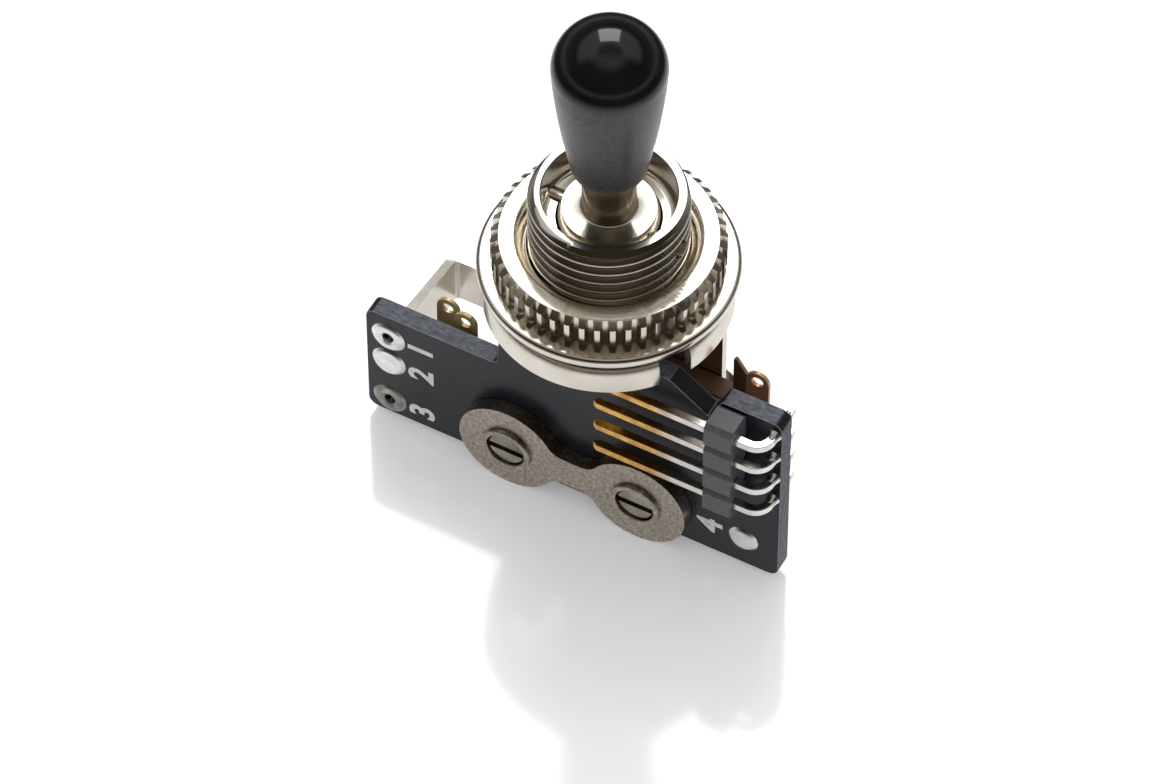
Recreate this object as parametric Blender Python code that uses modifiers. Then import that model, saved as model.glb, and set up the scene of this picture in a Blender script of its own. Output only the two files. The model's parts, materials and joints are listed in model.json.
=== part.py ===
"""Three-way guitar pickup selector switch on a small circuit board.

A lever pivots in a threaded bushing that is staked into a folded nickel frame. Its foot pushes
one of two long contact leaves away from a short fixed leaf, and so opens that side's contact.
The leaves, their insulating wafers and the circuit board are clamped by two screws between the
frame's leg and a figure-eight plate.

Sizes are in millimetres here and in metres in the scene. +Z runs up the lever, the board's front
faces -Y, and the origin lies under the bushing, on the surface that the switch stands on.
"""

import math

import bmesh
import bpy
from mathutils import Vector

MM = 0.001

# Clearances
SEAT = 0.05                # between layers that are clamped or rest on each other
PIN_FIT = 0.08             # around a pin that something turns on
HOLE_FIT = 0.1             # around a shank or a sleeve in its hole
NARROW_FIT = 0.04          # around a pressed-in pin or rivet
EDGE_BREAK = 0.15          # small chamfer on a turned end

# Lamination stack, counted outwards from the lever's plane at Y = 0
SPACER_T = 1.7
LEAF_T = 0.3
WAFER_T = 0.7
WAFER_W = 18.0
WAFER_H = 8.2
WAFER_CORNER = 1.0

# Circuit board
BOARD_T = 1.6
BOARD_LEFT = -18.2
BOARD_RIGHT = 16.9
BOARD_LIFT = 0.7           # lower edge above the surface it stands on
BOARD_LEFT_H = 11.4
BOARD_TOWER_H = 18.2
BOARD_WINDOW_W = 7.2       # relief for the front leaf's swing
BOARD_WINDOW_DEPTH = 4.7
BOARD_SHOULDER_W = 3.4     # from the window to the low left part
NOTCH_W = 4.3
NOTCH_STEEP_W = 1.0        # of it, the steep side next to the header
NOTCH_DEPTH = 2.4
NOTCH_LAP = 0.175          # the notch ends this far behind the header block
BOARD_CORNER = 0.8

# Solder pads on the board's front
PAD_SPOTS = (0.794, 0.535, 0.14)    # parts of the low left part's height
PAD_CLEAR = 0.05
PAD_HOLE_R = 0.45
PAD_T = 0.12
LEFT_PAD_INSET = 1.9       # from the board's left edge
RIGHT_PAD_INSET = 2.95
RIGHT_PAD_HEIGHT = 2.9
RIGHT_PAD_R = 1.25

# Four-way pin header
PIN_COUNT = 4
PIN_PITCH = 2.54
PIN_W = 0.64
PIN_TOP_DROP = 1.28        # last pin's middle below the board's top
PIN_STANDOFF = 1.7         # pin's middle in front of the board
PIN_REACH = 9.5            # free length to the left of the block
PIN_EDGE = 0.6             # last leg's middle from the board's right edge
PIN_BEND_R = 0.9
PIN_TAIL = 1.2             # behind the board
PIN_TAPER = 0.35
PIN_POINT = 0.2            # taken off each side of a pin at its end
HEADER_INSET = 5.2         # block's left side from the board's right edge
HEADER_W = 2.3
HEADER_DEPTH = 2.5
HEADER_NOTCH = 0.35        # V grooves between its four cubes, on its front and back

# Clamp plate and its two screws
LOBE_R = 4.1
SCREW_INSET = 3.5          # from the wafers' ends
WAIST_H = 2.9
PLATE_T = 1.15
COLLAR_R = 2.05
COLLAR_T = 0.35
SCREW_R = 1.5
HEAD_R = 2.6
HEAD_T = 1.4
SLOT_W = 0.55
SLOT_DEPTH = 0.6
TUBE_WALL = 0.5            # insulating tube on each screw

# Folded frame
SHEET = 0.7
FRAME_R = 9.4
SKIRT_DROP = 3.1           # from the plate's top to the skirt's lower edge
SKIRT_CLEAR = 0.7          # from there to the circuit board's top
BEND_R = 0.9
FRONT_SKIRT_DEG = 51.5     # half of the front skirt, about -Y
SIDE_SKIRT_DEG = 68.0      # where a side skirt starts, and where it ends
SIDE_SKIRT_END_DEG = 112.0
REAR_GAP_END_DEG = 150.0
NOTCH_R = 8.5
LEG_W = 14.0
LEG_BEND_R = 0.4
LEG_CLEAR = 0.3            # between the staked bushing and the leg
LEG_FOOT_H = 4.2
LEG_FLARE = 1.6
LEG_CORNER_R = 1.6
LEG_INNER_R = 0.8
EAR_OUT = 7.2              # arm's middle outwards from the wafers' end
EAR_ROOT = 1.5             # how far the arm runs onto the leg
EAR_LOW_Z = 4.2
EAR_REAR_Z = 8.6
EAR_FRONT_Z = 10.1
EAR_FRONT_H = 4.4
EAR_FRONT_Y = 2.0          # where its lower edge starts to rise
EAR_BEND_R = 0.35
FOLD_INSET = 0.02          # the arm's faces lie this far inside the leg's

# Washer and knurled nut
WASHER_RIM = 3.7           # the ring's width, from its bore to its edge
WASHER_T = 0.95
WASHER_EDGE = 0.2
NUT_R = 8.75
NUT_FACE_R = 8.25
NUT_T = 2.65
NUT_TEETH = 48
TOOTH_DEPTH = 0.55
COUNTERSINK_R = 6.9
COUNTERSINK_DEPTH = 0.75
CHAMFER = 0.45

# Bushing
THREAD_R = 6.0
THREAD_PITCH = 1.0
THREAD_DEPTH = 0.5
THREAD_RUNOUT = 0.5        # least plain length above the frame
BUSHING_LENGTH = 8.5       # from the frame's top to the rim
RIM_CHAMFER = 0.35
SPIGOT_R = 4.4
STAKE_LIP = 0.3
STAKE_T = 0.5
DISH_R = 5.0
DISH_DEPTH = 2.7
DISH_ROUND = 0.6
RIM_ROUND = 0.15
SEAT_MOUTH_R = 2.9
EXIT_R = 3.4

# Lever
PIVOT_DEPTH = 3.2          # below the rim
BALL_R = 3.85
BALL_FIT = 0.1
LEVER_PIN_R = 0.75
PIN_END_GAP = 0.75         # below the thread's outer diameter
COLLAR_NECK_R = 2.7
COLLAR_BAND = 0.3          # straight part between the ball and the neck's flare
NECK_R = 2.0
TIP_LIFT = 6.2             # tip's lower end above the pivot
STUD_R = 1.15
STUD_LENGTH = 7.3
SHANK_R = 1.5
FOOT_R = 0.9
SHANK_END = 7.2            # all below the pivot
SLEEVE_START = 7.75
SLEEVE_LENGTH = 2.2
SLEEVE_WALL = 0.45
FOOT_CAP_R = 1.2
FOOT_CAP_T = 0.3

# Tip
TIP_R = 4.27
TIP_BASE_R = 2.78
TIP_TAPER = 11.7
TIP_DOME = 2.9
TIP_BULGE = 0.18
TIP_EDGE = 0.25

# Contact leaves
LEAF_INSET = 0.4           # from the wafers' ends
LEAF_PAD_LOW = 0.5
LEAF_PAD_TOP = 7.7
LONG_ROOT_W = 5.0
LONG_TIP_W = 4.0
LONG_RISE = 1.05           # leaf's end above the foot's middle
SHORT_W = 4.4
SHORT_RISE = 1.5           # short leaf's end above its contact
CONTACT_DROP = 5.95        # contacts below the foot's middle
CONTACT_R = 0.95
CONTACT_SHANK_R = 0.4
CONTACT_TAIL_R = 0.65
CONTACT_TAIL_T = 0.15
CONTACT_GAP = 0.04
LEAF_RUN = 0.1             # between the sleeve and a long leaf at rest
LEAF_FLARE = 0.5
TONGUE_ROOT_R = 0.4

# Solder lugs: "out" is the middle's distance outwards from the wafers' end
LUG_W = 1.9
EYELET_R = 0.5
SHORT_ARM_Z = 3.4
LONG_ARM_Z = 4.6
FRONT_SHORT_LUG_OUT = 4.1
FRONT_SHORT_LUG_TOP = 12.2
FRONT_LONG_LUG_OUT = 2.0
FRONT_LONG_LUG_TOP = 12.9
REAR_SHORT_LUG_OUT = 3.0
REAR_SHORT_LUG_TOP = 16.0
FIN_OUT = 1.4
FIN_TOP = 15.5
FIN_DROP = 2.9             # from the fin's point to its outer corner

# Values worked out from the ones above
WAFER_END = WAFER_W / 2
SCREW_Z = LOBE_R
SCREW_X = WAFER_END - SCREW_INSET
SCREW_XS = {"left": -SCREW_X, "right": SCREW_X}
PAD_HALF_W = WAFER_END - LEAF_INSET
HOLE_R = SCREW_R + HOLE_FIT
TUBE_R = HOLE_R + TUBE_WALL
LEAF_HOLE_R = TUBE_R + HOLE_FIT
BOARD_TOP_Z = BOARD_LIFT + BOARD_TOWER_H
FRAME_TOP_Z = BOARD_TOP_Z + SKIRT_CLEAR + SKIRT_DROP
RIM_Z = FRAME_TOP_Z + BUSHING_LENGTH
PIVOT_Z = RIM_Z - PIVOT_DEPTH
SLEEVE_R = FOOT_R + NARROW_FIT + SLEEVE_WALL
FOOT_Z = PIVOT_Z - SLEEVE_START - SLEEVE_LENGTH / 2
CONTACT_Z = FOOT_Z - CONTACT_DROP
WASHER_R = THREAD_R + HOLE_FIT + WASHER_RIM
PAD_R = ((PAD_SPOTS[0] - PAD_SPOTS[1]) * BOARD_LEFT_H - PAD_CLEAR) / 2
PIN_BEND_X = BOARD_RIGHT - PIN_EDGE
HEADER_LEFT = BOARD_RIGHT - HEADER_INSET
EAR_X = -WAFER_END - EAR_OUT


def stack_layers(direction, thicknesses):
    """Return the (near, far) distance of each layer from the lever's plane, on one side."""
    layers = []
    at = SPACER_T / 2
    for thickness in thicknesses:
        near = at + SEAT
        at = near + thickness
        layers.append(tuple(sorted((direction * near, direction * at))))
    return layers


FRONT = stack_layers(-1, (LEAF_T, WAFER_T, LEAF_T, WAFER_T, BOARD_T, PLATE_T))
REAR = stack_layers(1, (LEAF_T, WAFER_T, LEAF_T, WAFER_T))
BOARD_Y = FRONT[4]
PLATE_Y = FRONT[5]
LEG_FRONT = SPIGOT_R + STAKE_LIP + LEG_CLEAR
LEG_Y = (LEG_FRONT, LEG_FRONT + SHEET)
REAR_BLOCK_Y = (REAR[3][1] + SEAT, LEG_FRONT - SEAT)


# Scene, collections and materials

def clear_scene():
    for old in list(bpy.data.objects):
        bpy.data.objects.remove(old, do_unlink=True)


def new_collection(name):
    group = bpy.data.collections.new(name)
    bpy.context.scene.collection.children.link(group)
    return group


clear_scene()
PARTS = new_collection("pickup_selector_switch")
CUTTERS = new_collection("cutters")


def material(name, color, roughness, metallic):
    made = bpy.data.materials.new(name)
    made.use_nodes = True
    shader = made.node_tree.nodes["Principled BSDF"]
    shader.inputs["Base Color"].default_value = (*color, 1.0)
    shader.inputs["Roughness"].default_value = roughness
    shader.inputs["Metallic"].default_value = metallic
    return made


NICKEL = {"color": (0.82, 0.79, 0.73), "roughness": 0.16, "metallic": 1.0}
SATIN_NICKEL = {"color": (0.55, 0.51, 0.45), "roughness": 0.38, "metallic": 1.0}
BRASS = {"color": (0.78, 0.56, 0.24), "roughness": 0.28, "metallic": 1.0}
COPPER = {"color": (0.72, 0.40, 0.22), "roughness": 0.32, "metallic": 1.0}
GOLD = {"color": (0.90, 0.62, 0.22), "roughness": 0.22, "metallic": 1.0}
SILVER = {"color": (0.85, 0.85, 0.83), "roughness": 0.3, "metallic": 1.0}
GLOSS_BLACK = {"color": (0.012, 0.012, 0.014), "roughness": 0.18, "metallic": 0.0}
HEADER_BLACK = {"color": (0.02, 0.02, 0.022), "roughness": 0.5, "metallic": 0.0}
BOARD_BLACK = {"color": (0.018, 0.019, 0.024), "roughness": 0.42, "metallic": 0.0}
WAFER_BROWN = {"color": (0.16, 0.07, 0.03), "roughness": 0.55, "metallic": 0.0}
NYLON = {"color": (0.75, 0.72, 0.63), "roughness": 0.45, "metallic": 0.0}


# Shape helpers

def place(name, mesh, finish):
    """Put a mesh in the scene as a named part, with its own material."""
    part = bpy.data.objects.new(name, mesh)
    PARTS.objects.link(part)
    mesh.materials.clear()
    mesh.materials.append(material(name, finish["color"], finish["roughness"], finish["metallic"]))
    return part


def smooth(part, angle=35.0):
    part.data.shade_smooth()
    part.data.set_sharp_from_angle(angle=math.radians(angle))


def rounded(corners, segments=3):
    """Return an outline's points, each corner (x, y, radius) rounded by an arc."""
    points = []
    count = len(corners)
    for i, (x, y, radius) in enumerate(corners):
        here = Vector((x, y))
        if radius <= 0:
            points.append((x, y))
            continue
        back = (Vector(corners[i - 1][:2]) - here).normalized()
        ahead = (Vector(corners[(i + 1) % count][:2]) - here).normalized()
        half = back.angle(ahead) / 2
        reach = radius / math.tan(half)
        centre = here + (back + ahead).normalized() * (radius / math.sin(half))
        start = here + back * reach - centre
        end = here + ahead * reach - centre
        turn = math.atan2(start.x * end.y - start.y * end.x, start.dot(end))
        for step in range(segments + 1):
            angle = turn * step / segments
            x_turned = start.x * math.cos(angle) - start.y * math.sin(angle)
            y_turned = start.x * math.sin(angle) + start.y * math.cos(angle)
            points.append((centre.x + x_turned, centre.y + y_turned))
    return points


def circle(x, y, radius, count=16):
    return [(x + radius * math.cos(2 * math.pi * i / count), y + radius * math.sin(2 * math.pi * i / count))
            for i in range(count)]


def arc(cx, cy, radius, start_deg, end_deg, count):
    """Points along an arc, both ends included."""
    angles = [math.radians(start_deg + (end_deg - start_deg) * i / count) for i in range(count + 1)]
    return [(cx + radius * math.cos(a), cy + radius * math.sin(a)) for a in angles]


AXIS_TURN = {
    "X": (math.pi / 2, 0.0, math.pi / 2),     # outline lies in Y, Z
    "Y": (math.pi / 2, 0.0, 0.0),             # outline lies in X, Z
    "Z": (0.0, 0.0, 0.0),                     # outline lies in X, Y
}


def flat_solid(name, loops, low, high, axis):
    """Return a mesh object: a flat outline with holes, extruded from low to high along an axis."""
    curve = bpy.data.curves.new(name, "CURVE")
    curve.dimensions = "2D"
    curve.fill_mode = "BOTH"
    curve.extrude = (high - low) / 2 * MM
    for loop in loops:
        spline = curve.splines.new("POLY")
        spline.points.add(len(loop) - 1)
        for point, (x, y) in zip(spline.points, loop):
            point.co = (x * MM, y * MM, 0.0, 1.0)
        spline.use_cyclic_u = True
    outline = bpy.data.objects.new(name, curve)
    bpy.context.scene.collection.objects.link(outline)
    outline.rotation_euler = AXIS_TURN[axis]
    outline.location["XYZ".index(axis)] = (low + high) / 2 * MM
    bpy.context.view_layer.update()
    evaluated = outline.evaluated_get(bpy.context.evaluated_depsgraph_get())
    mesh = bpy.data.meshes.new_from_object(evaluated)
    mesh.name = name
    weld = bmesh.new()
    weld.from_mesh(mesh)
    bmesh.ops.remove_doubles(weld, verts=weld.verts[:], dist=1e-7)
    weld.to_mesh(mesh)
    weld.free()
    solid = bpy.data.objects.new(name, mesh)
    solid.matrix_world = outline.matrix_world.copy()
    bpy.data.objects.remove(outline, do_unlink=True)
    bpy.data.curves.remove(curve)
    return solid


def plate(name, loops, low, high, axis, finish):
    """A flat part: an outline with holes and a thickness."""
    solid = flat_solid(name, loops, low, high, axis)
    mesh = solid.data
    matrix = solid.matrix_world.copy()
    bpy.data.objects.remove(solid)
    part = place(name, mesh, finish)
    part.matrix_world = matrix
    smooth(part)
    return part


def turned_mesh(name, profile, closed):
    """Return an open profile mesh for the Screw modifier, in the plane of +X and Z."""
    mesh = bpy.data.meshes.new(name)
    maker = bmesh.new()
    points = [maker.verts.new((r * MM, 0.0, z * MM)) for r, z in profile]
    for first, second in zip(points, points[1:]):
        maker.edges.new((first, second))
    if closed:
        maker.edges.new((points[-1], points[0]))
    maker.to_mesh(mesh)
    maker.free()
    return mesh


def spin(part, steps):
    screw = part.modifiers.new("spin", "SCREW")
    screw.steps = steps
    screw.render_steps = steps
    screw.use_merge_vertices = True
    screw.merge_threshold = 1e-7
    screw.use_smooth_shade = True
    return screw


def turned(name, profile, steps, finish, closed=False):
    """A turned part: its profile (radius, height) runs down the outer side."""
    part = place(name, turned_mesh(name, profile, closed), finish)
    spin(part, steps)
    return part


def as_cutter(tool):
    """Move a solid among the cutters, which are guides and not parts."""
    for group in list(tool.users_collection):
        group.objects.unlink(tool)
    CUTTERS.objects.link(tool)
    tool.hide_render = True
    tool.display_type = "WIRE"
    return tool


def turned_cutter(name, profile, steps, closed=False):
    tool = bpy.data.objects.new(name, turned_mesh(name, profile, closed))
    spin(tool, steps)
    return as_cutter(tool)


def flat_cutter(name, loops, low, high, axis):
    return as_cutter(flat_solid(name, loops, low, high, axis))


def combine(part, tool, operation):
    """Join, cut or intersect a part with another solid."""
    step = part.modifiers.new(tool.name, "BOOLEAN")
    step.operation = operation
    step.solver = "EXACT"
    step.object = tool
    return step


def rod_profile(radius, low, high):
    return [(0.0, high), (radius, high), (radius, low), (0.0, low)]


def along(part, axis, position):
    """Turn a part that was made about Z so that its top looks along another axis."""
    part.rotation_euler = {"X": (0.0, math.pi / 2, 0.0), "-Y": (math.pi / 2, 0.0, 0.0)}[axis]
    part.location = [value * MM for value in position]
    return part


def box_loop(x0, y0, x1, y1):
    return [(x0, y0), (x1, y0), (x1, y1), (x0, y1)]


# Lever, its sleeve and its tip

def make_tip():
    base = PIVOT_Z + TIP_LIFT
    widest = base + TIP_TAPER
    dome = [(0.0, widest + TIP_DOME)]
    for i in range(1, 8):
        angle = math.pi / 2 * i / 7
        dome.append((TIP_R * math.sin(angle), widest + TIP_DOME * math.cos(angle)))
    side = []
    for i in range(1, 5):
        t = i / 5
        radius = TIP_R + (TIP_BASE_R - TIP_R) * t + TIP_BULGE * math.sin(math.pi * t)
        side.append((radius, widest - TIP_TAPER * t))
    bore = STUD_R + SEAT
    edge = [(TIP_BASE_R, base + TIP_EDGE), (TIP_BASE_R - TIP_EDGE, base), (bore, base)]
    top = base + STUD_LENGTH + SEAT
    return turned("toggle_tip", dome + side + edge + [(bore, top), (0.0, top)], 30, GLOSS_BLACK)


def make_lever():
    collar_drop = math.sqrt(BALL_R ** 2 - COLLAR_NECK_R ** 2)
    shank_drop = math.sqrt(BALL_R ** 2 - SHANK_R ** 2)
    ball_top = math.degrees(math.atan2(collar_drop, COLLAR_NECK_R))
    ball_low = -math.degrees(math.atan2(shank_drop, SHANK_R))
    shoulder = PIVOT_Z + TIP_LIFT - SEAT
    stud_top = PIVOT_Z + TIP_LIFT + STUD_LENGTH
    flare_r = COLLAR_NECK_R - NECK_R
    flare_z = PIVOT_Z + collar_drop + flare_r + COLLAR_BAND
    profile = [(0.0, stud_top), (STUD_R - EDGE_BREAK, stud_top), (STUD_R, stud_top - EDGE_BREAK)]
    profile += [(STUD_R, shoulder), (NECK_R, shoulder)]
    profile += arc(COLLAR_NECK_R, flare_z, flare_r, 180, 270, 3)
    profile += arc(0.0, PIVOT_Z, BALL_R, ball_top, ball_low, 9)
    foot_low = PIVOT_Z - SLEEVE_START - SLEEVE_LENGTH - SEAT
    profile += [(SHANK_R, PIVOT_Z - SHANK_END), (FOOT_R, PIVOT_Z - SLEEVE_START + SEAT), (FOOT_R, foot_low)]
    cap_low = foot_low - FOOT_CAP_T
    profile += [(FOOT_CAP_R, foot_low), (FOOT_CAP_R - EDGE_BREAK, cap_low), (0.0, cap_low)]
    lever = turned("toggle_lever", profile, 28, NICKEL)
    hole = turned_cutter("lever_pin_hole", rod_profile(LEVER_PIN_R + PIN_FIT, -2 * BALL_R, 2 * BALL_R), 16)
    along(hole, "X", (0.0, 0.0, PIVOT_Z))
    combine(lever, hole, "DIFFERENCE")
    return lever


def make_sleeve():
    high = PIVOT_Z - SLEEVE_START
    low = high - SLEEVE_LENGTH
    bore = FOOT_R + NARROW_FIT
    ring = [(bore, high), (SLEEVE_R - EDGE_BREAK, high), (SLEEVE_R, high - EDGE_BREAK),
            (SLEEVE_R, low + EDGE_BREAK), (SLEEVE_R - EDGE_BREAK, low), (bore, low)]
    return turned("lever_foot_sleeve", ring, 20, NYLON, closed=True)


def make_pivot_pin():
    half = THREAD_R - PIN_END_GAP
    profile = [(0.0, half), (LEVER_PIN_R - EDGE_BREAK, half), (LEVER_PIN_R, half - EDGE_BREAK),
               (LEVER_PIN_R, EDGE_BREAK - half), (LEVER_PIN_R - EDGE_BREAK, -half), (0.0, -half)]
    return along(turned("pivot_pin", profile, 16, NICKEL), "X", (0.0, 0.0, PIVOT_Z))


# Bushing, nut and washer

def thread_profile(high, low):
    """The thread's crests and roots, from the rim's chamfer down to its plain end."""
    points = []
    level = high
    while level - THREAD_PITCH > low + THREAD_RUNOUT:
        points += [(THREAD_R, level), (THREAD_R - THREAD_DEPTH, level - THREAD_PITCH / 2)]
        level -= THREAD_PITCH
    return points + [(THREAD_R, level), (THREAD_R, low)]


def make_bushing():
    seat_r = BALL_R + BALL_FIT
    mouth = -math.degrees(math.acos(SEAT_MOUTH_R / seat_r))
    floor_z = RIM_Z - DISH_DEPTH
    under = FRAME_TOP_Z - SHEET - SEAT
    low = under - STAKE_T
    foot = FRAME_TOP_Z + SEAT
    outer = [(THREAD_R - RIM_CHAMFER, RIM_Z)] + thread_profile(RIM_Z - RIM_CHAMFER, foot)
    outer += [(SPIGOT_R, foot), (SPIGOT_R, under)]
    stake_r = SPIGOT_R + STAKE_LIP
    outer += [(stake_r, under), (stake_r - EDGE_BREAK, low), (EXIT_R, low)]
    inner = arc(0.0, PIVOT_Z, seat_r, mouth, 0, 4)
    inner += [(seat_r, floor_z), (DISH_R - DISH_ROUND, floor_z)]
    inner += arc(DISH_R - DISH_ROUND, floor_z + DISH_ROUND, DISH_ROUND, -60, 0, 2)
    inner += arc(DISH_R + RIM_ROUND, RIM_Z - RIM_ROUND, RIM_ROUND, 180, 90, 2)
    bushing = turned("threaded_bushing", outer + inner, 36, NICKEL, closed=True)
    hole = turned_cutter("bushing_pin_hole", rod_profile(LEVER_PIN_R + SEAT, -2 * THREAD_R, 2 * THREAD_R), 16)
    along(hole, "X", (0.0, 0.0, PIVOT_Z))
    combine(bushing, hole, "DIFFERENCE")
    return bushing


def make_washer():
    low = FRAME_TOP_Z + SEAT
    high = low + WASHER_T
    bore = THREAD_R + HOLE_FIT
    ring = [(bore, high), (WASHER_R - WASHER_EDGE, high), (WASHER_R, high - WASHER_EDGE),
            (WASHER_R, low + WASHER_EDGE), (WASHER_R - WASHER_EDGE, low), (bore, low)]
    return turned("dress_washer", ring, 48, NICKEL, closed=True)


def make_nut():
    low = FRAME_TOP_Z + WASHER_T + 2 * SEAT
    high = low + NUT_T
    bore = THREAD_R + HOLE_FIT
    star = []
    for i in range(2 * NUT_TEETH):
        angle = math.pi * i / NUT_TEETH
        radius = NUT_R if i % 2 == 0 else NUT_R - TOOTH_DEPTH
        star.append((radius * math.cos(angle), radius * math.sin(angle)))
    nut = plate("knurled_nut", [star], low, high, "Z", NICKEL)
    reach = NUT_R + 0.05
    body = [(bore, high - COUNTERSINK_DEPTH), (COUNTERSINK_R, high), (NUT_FACE_R, high),
            (reach, high - CHAMFER), (reach, low + CHAMFER), (NUT_FACE_R, low), (bore, low)]
    form = turned_cutter("nut_form", body, 36, closed=True)
    combine(nut, form, "INTERSECT")
    return nut


# Frame

def make_frame():
    top = FRAME_TOP_Z
    low = top - SKIRT_DROP
    outer_bend = BEND_R + SHEET
    leg_bend = LEG_BEND_R + SHEET
    cup = [(0.0, top)]
    cup += arc(FRAME_R - outer_bend, top - outer_bend, outer_bend, 90, 0, 4)
    cup += [(FRAME_R, low), (FRAME_R - SHEET, low)]
    cup += arc(FRAME_R - outer_bend, top - outer_bend, BEND_R, 0, 90, 3)
    cup += [(0.0, top - SHEET)]
    frame = turned("frame", cup, 44, NICKEL)
    leg_front, leg_back = LEG_Y
    far = 1.5 * FRAME_R
    rear = box_loop(-far, leg_back - leg_bend, far, far)
    combine(frame, flat_cutter("frame_rear_cut", [rear], low - 1, top + 1, "Z"), "DIFFERENCE")
    gaps = {"front": (FRONT_SKIRT_DEG, SIDE_SKIRT_DEG), "rear": (SIDE_SKIRT_END_DEG, REAR_GAP_END_DEG)}
    for side, sign in (("left", -1), ("right", 1)):
        for gap_name, (start, end) in gaps.items():
            corners = ((NOTCH_R, start), (far, start), (far, end), (NOTCH_R, end))
            loop = [(sign * r * math.sin(math.radians(turn)), -r * math.cos(math.radians(turn)))
                    for r, turn in corners]
            notch = flat_cutter("skirt_notch_%s_%s" % (gap_name, side), [loop], low - 1, top + 1, "Z")
            combine(frame, notch, "DIFFERENCE")
    combine(frame, make_leg(leg_front, leg_back, leg_bend), "UNION")
    combine(frame, make_ear(leg_front, leg_back), "UNION")
    bore = turned_cutter("frame_bore", rod_profile(SPIGOT_R + SEAT, top - SHEET - 0.3, top + 2), 40)
    combine(frame, bore, "DIFFERENCE")
    for side, x in SCREW_XS.items():
        hole = turned_cutter("leg_hole_" + side, rod_profile(HOLE_R, -3, 3), 20)
        along(hole, "-Y", (x, (leg_front + leg_back) / 2, SCREW_Z))
        combine(frame, hole, "DIFFERENCE")
    return frame


def make_leg(front, back, outer_bend):
    """The frame's rear leg with its bend, seen from the side, then cut to its outline."""
    top = FRAME_TOP_Z
    start = back - outer_bend - 1.0
    side = [(start, top - SHEET), (start, top)]
    side += arc(back - outer_bend, top - outer_bend, outer_bend, 90, 0, 4)
    side += [(back, 0.0), (front, 0.0)]
    side += arc(back - outer_bend, top - outer_bend, LEG_BEND_R, 0, 90, 3)
    foot = WAFER_END
    half = LEG_W / 2
    neck = LEG_FOOT_H + LEG_FLARE
    leg = flat_cutter("frame_leg", [side], -foot, foot, "X")
    outline = rounded([
        (-foot, 0.0, LEG_CORNER_R), (foot, 0.0, LEG_CORNER_R), (foot, LEG_FOOT_H, LEG_INNER_R),
        (half, neck, LEG_INNER_R), (half, top + 1, 0.0), (-half, top + 1, 0.0),
        (-half, neck, LEG_INNER_R), (-foot, LEG_FOOT_H, LEG_INNER_R)])
    form = flat_cutter("frame_leg_outline", [outline], start - 1, back + 1, "Y")
    combine(leg, form, "INTERSECT")
    return leg


def make_ear(front, back):
    """The arm that folds forward from the leg to the back of the board."""
    left = EAR_X - SHEET / 2
    right = EAR_X + SHEET / 2
    ear_front = BOARD_Y[1] + SEAT
    root = -LEG_W / 2 + EAR_ROOT
    front += FOLD_INSET
    back -= FOLD_INSET
    plan = rounded([
        (right, ear_front, 0.0), (right, front, EAR_BEND_R), (root, front, 0.0), (root, back, 0.0),
        (left, back, EAR_BEND_R + SHEET), (left, ear_front, 0.0)], segments=5)
    ear = flat_cutter("frame_ear", [plan], EAR_LOW_Z - 1, EAR_FRONT_Z + 1, "Z")
    side = rounded([
        (ear_front - 1, EAR_FRONT_Z - EAR_FRONT_H, 0.0), (EAR_FRONT_Y, EAR_LOW_Z, EAR_BEND_R),
        (back + 1, EAR_LOW_Z, 0.0), (back + 1, EAR_REAR_Z, 0.0), (front, EAR_REAR_Z, 0.0),
        (ear_front - 1, EAR_FRONT_Z, 0.0)])
    form = flat_cutter("frame_ear_outline", [side], left - 1, root + 1, "X")
    combine(ear, form, "INTERSECT")
    return ear


# Clamp plate, screws and insulating tubes

def figure_eight():
    """The clamp plate's outline: two lobes joined by a straight waist."""
    meet = math.degrees(math.asin(WAIST_H / 2 / LOBE_R))
    right = arc(SCREW_X, SCREW_Z, LOBE_R, -180 + meet, 180 - meet, 20)
    left = arc(-SCREW_X, SCREW_Z, LOBE_R, meet, 360 - meet, 20)
    return right + left


def make_clamp_plate():
    holes = [circle(x, SCREW_Z, HOLE_R) for x in SCREW_XS.values()]
    clamp = plate("clamp_plate", [figure_eight()] + holes, *PLATE_Y, "Y", SATIN_NICKEL)
    for side, x in SCREW_XS.items():
        ring = [(HOLE_R, COLLAR_T), (COLLAR_R - EDGE_BREAK, COLLAR_T), (COLLAR_R, COLLAR_T - EDGE_BREAK),
                (COLLAR_R + 0.2, -PLATE_T / 2), (HOLE_R, -PLATE_T / 2)]
        collar = turned_cutter("plate_collar_" + side, ring, 16, closed=True)
        along(collar, "-Y", (x, PLATE_Y[0], SCREW_Z))
        combine(clamp, collar, "UNION")
    return clamp


def make_screw(side, x):
    """A screw from the back, whose slotted end shows in the clamp plate's collar."""
    end = -PLATE_Y[0] + COLLAR_T / 2
    under = -(LEG_Y[1] + SEAT)
    head = under - HEAD_T
    profile = [(0.0, end), (SCREW_R - EDGE_BREAK, end), (SCREW_R, end - EDGE_BREAK)]
    profile += [(SCREW_R, under), (HEAD_R, under)]
    profile += arc(HEAD_R - 0.5, head + 0.5, 0.5, 0, -90, 3)
    profile += [(0.0, head)]
    screw = along(turned("stack_screw_" + side, profile, 16, NICKEL), "-Y", (x, 0.0, SCREW_Z))
    half = SLOT_W / 2
    reach = HEAD_R + 1
    for place_name, low, high in (
            ("front", -end - 1, -end + SLOT_DEPTH), ("rear", -head - SLOT_DEPTH, -head + 1)):
        loop = box_loop(x - reach, SCREW_Z - half, x + reach, SCREW_Z + half)
        slot = flat_cutter("slot_" + place_name + "_" + side, [loop], low, high, "Y")
        combine(screw, slot, "DIFFERENCE")
    return screw


def make_screw_tube(side, x):
    low = -REAR_BLOCK_Y[1]
    high = -FRONT[3][0]
    ring = [(HOLE_R, high), (TUBE_R, high), (TUBE_R, low), (HOLE_R, low)]
    return along(turned("screw_tube_" + side, ring, 16, NYLON, closed=True), "-Y", (x, 0.0, SCREW_Z))


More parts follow.
